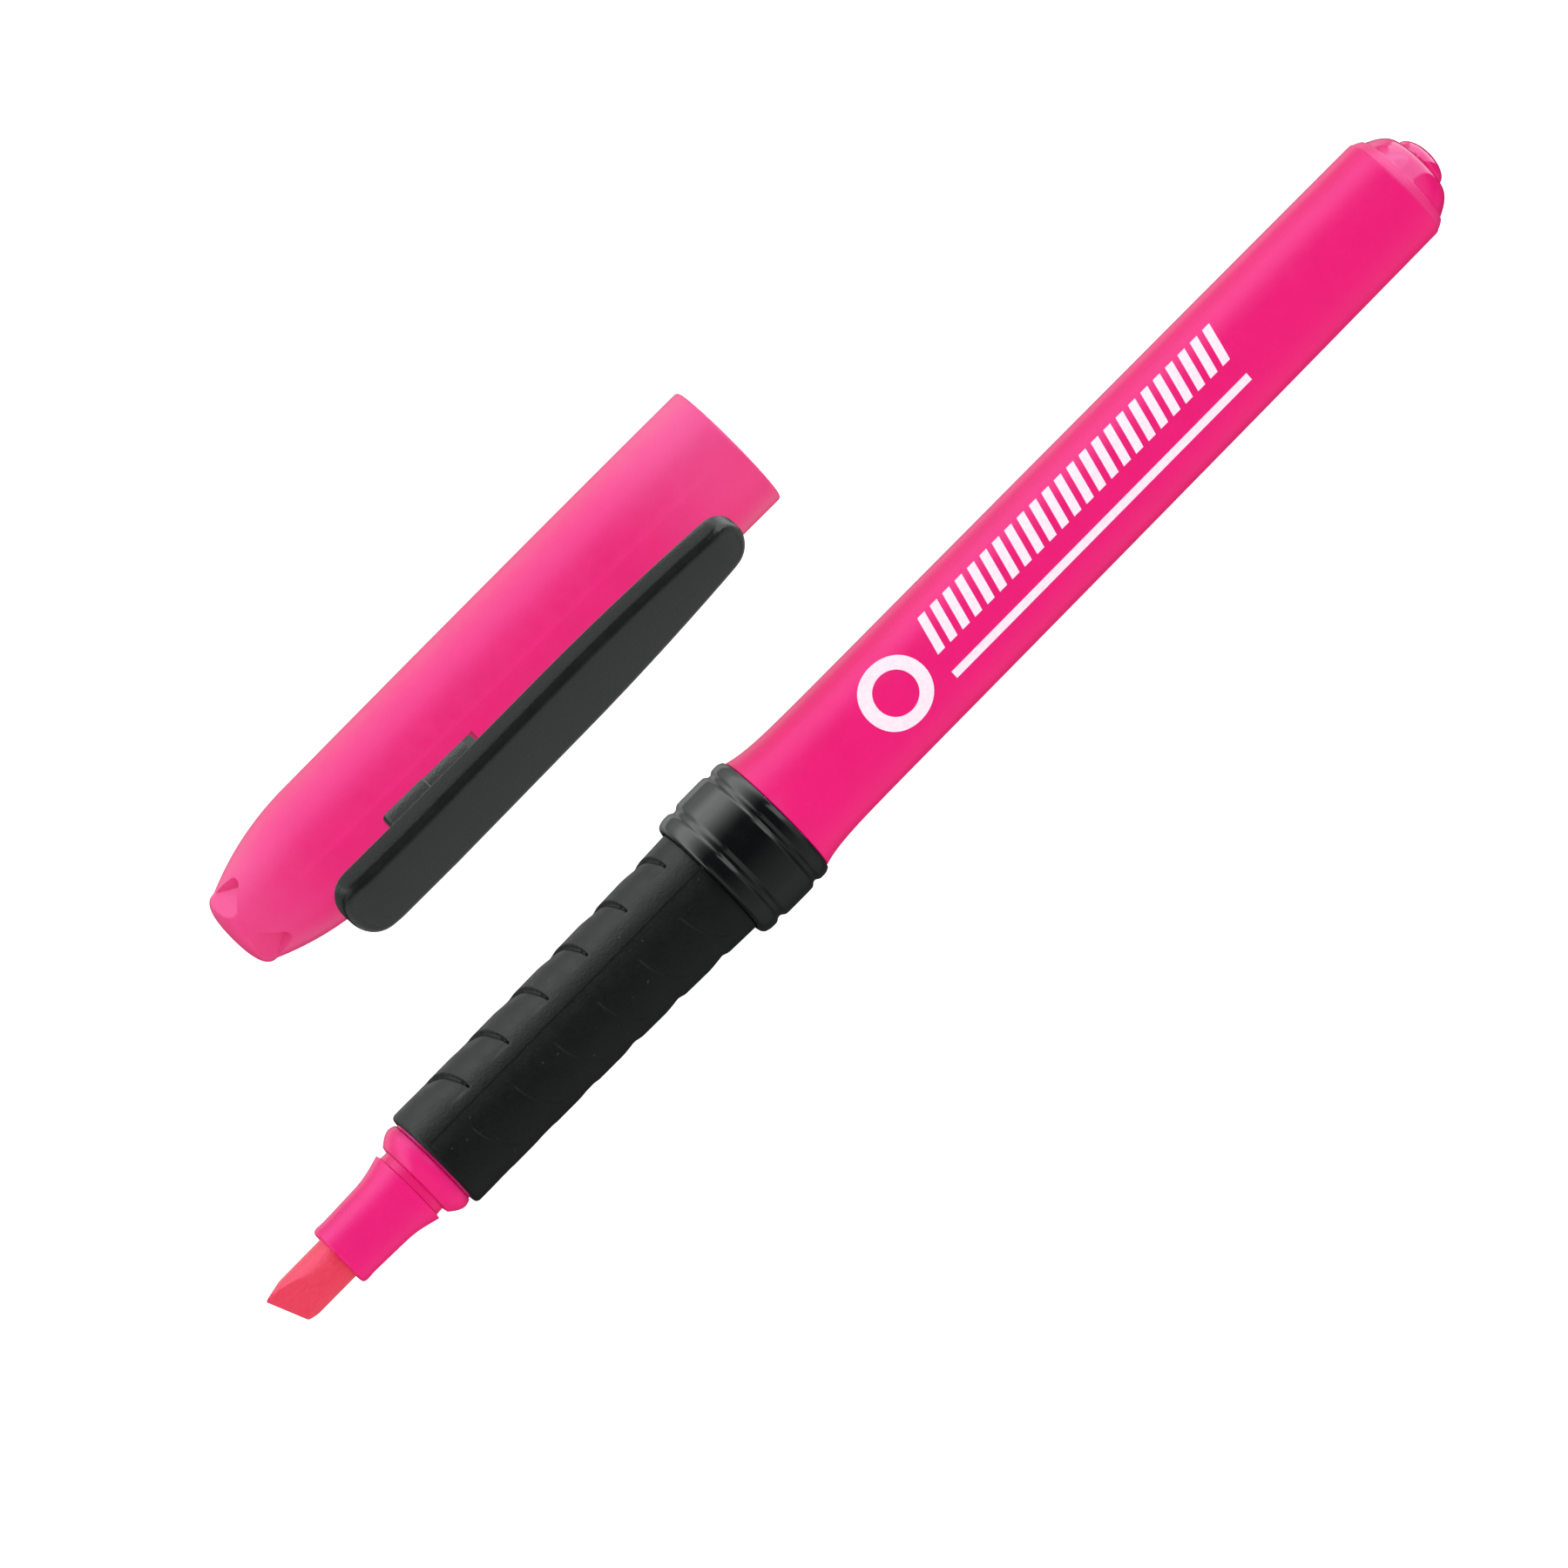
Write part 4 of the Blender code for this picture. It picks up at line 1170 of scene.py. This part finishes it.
def cap_side(tree, x, y, z):
    return remap(tree, z, 0.0155, 0.0240, 0.66, 0.04, True)


def clip_side(tree, x, y, z):
    top = cap_o.z + 8.7 * MM
    return remap(tree, z, top, top + 0.0010, 0.72, 0.01, True)


card_y = pen_o.y + 14.4 * MM
for name, y, strength in (("card_pen", card_y, pen_side),
                          ("card_cap", card_y + 0.0002, cap_side)):
    card(name, [(-0.12, y, 0.0), (0.12, y, 0.0), (0.12, y, 0.045), (-0.12, y, 0.045)],
         strength)
flag = [CAP @ Vector((x * MM, -0.7 * MM, z * MM)) for x, z in
        ((-53.0, 6.0), (-3.5, 6.45), (-3.5, 16.5), (-53.0, 16.5))]
card("card_clip", [tuple(v) for v in flag], clip_side)

# the polished pieces mirror the studio, not their pink neighbours
for name in ("barrel_body", "front_body", "plug_body", "cap_body", "clip_body",
             "clip_foot", "barrel_print", "seal_cup"):
    bpy.data.objects[name].visible_glossy = False
for name in ("clip_body", "clip_foot"):
    bpy.data.objects[name].visible_diffuse = False

# camera: a long lens looking down, displaced a little towards the nib
PSI = math.radians(45.35)
ALPHA = math.radians(3.3)
DIST = 1.34
e1 = Vector((math.cos(ALPHA), 0.0, math.sin(ALPHA)))
e2 = Vector((0.0, 1.0, 0.0))
back = e1.cross(e2)
right = e1 * math.cos(PSI) - e2 * math.sin(PSI)
up = e1 * math.sin(PSI) + e2 * math.cos(PSI)
target = PEN @ Vector((10.4 * MM, 1.35 * MM, 0.0))
cam_data = bpy.data.cameras.new("camera")
cam_data.lens = 357.8
cam_data.sensor_width = 36.0
cam_data.clip_start = 0.05
cam_data.clip_end = 50.0
cam = bpy.data.objects.new("camera", cam_data)
bpy.context.scene.collection.objects.link(cam)
pos = target + back * DIST
cam.matrix_world = Matrix(((right.x, up.x, back.x, pos.x),
                           (right.y, up.y, back.y, pos.y),
                           (right.z, up.z, back.z, pos.z),
                           (0, 0, 0, 1)))
bpy.context.scene.camera = cam
bpy.context.scene.view_settings.view_transform = "Standard"
bpy.context.scene.view_settings.look = "None"
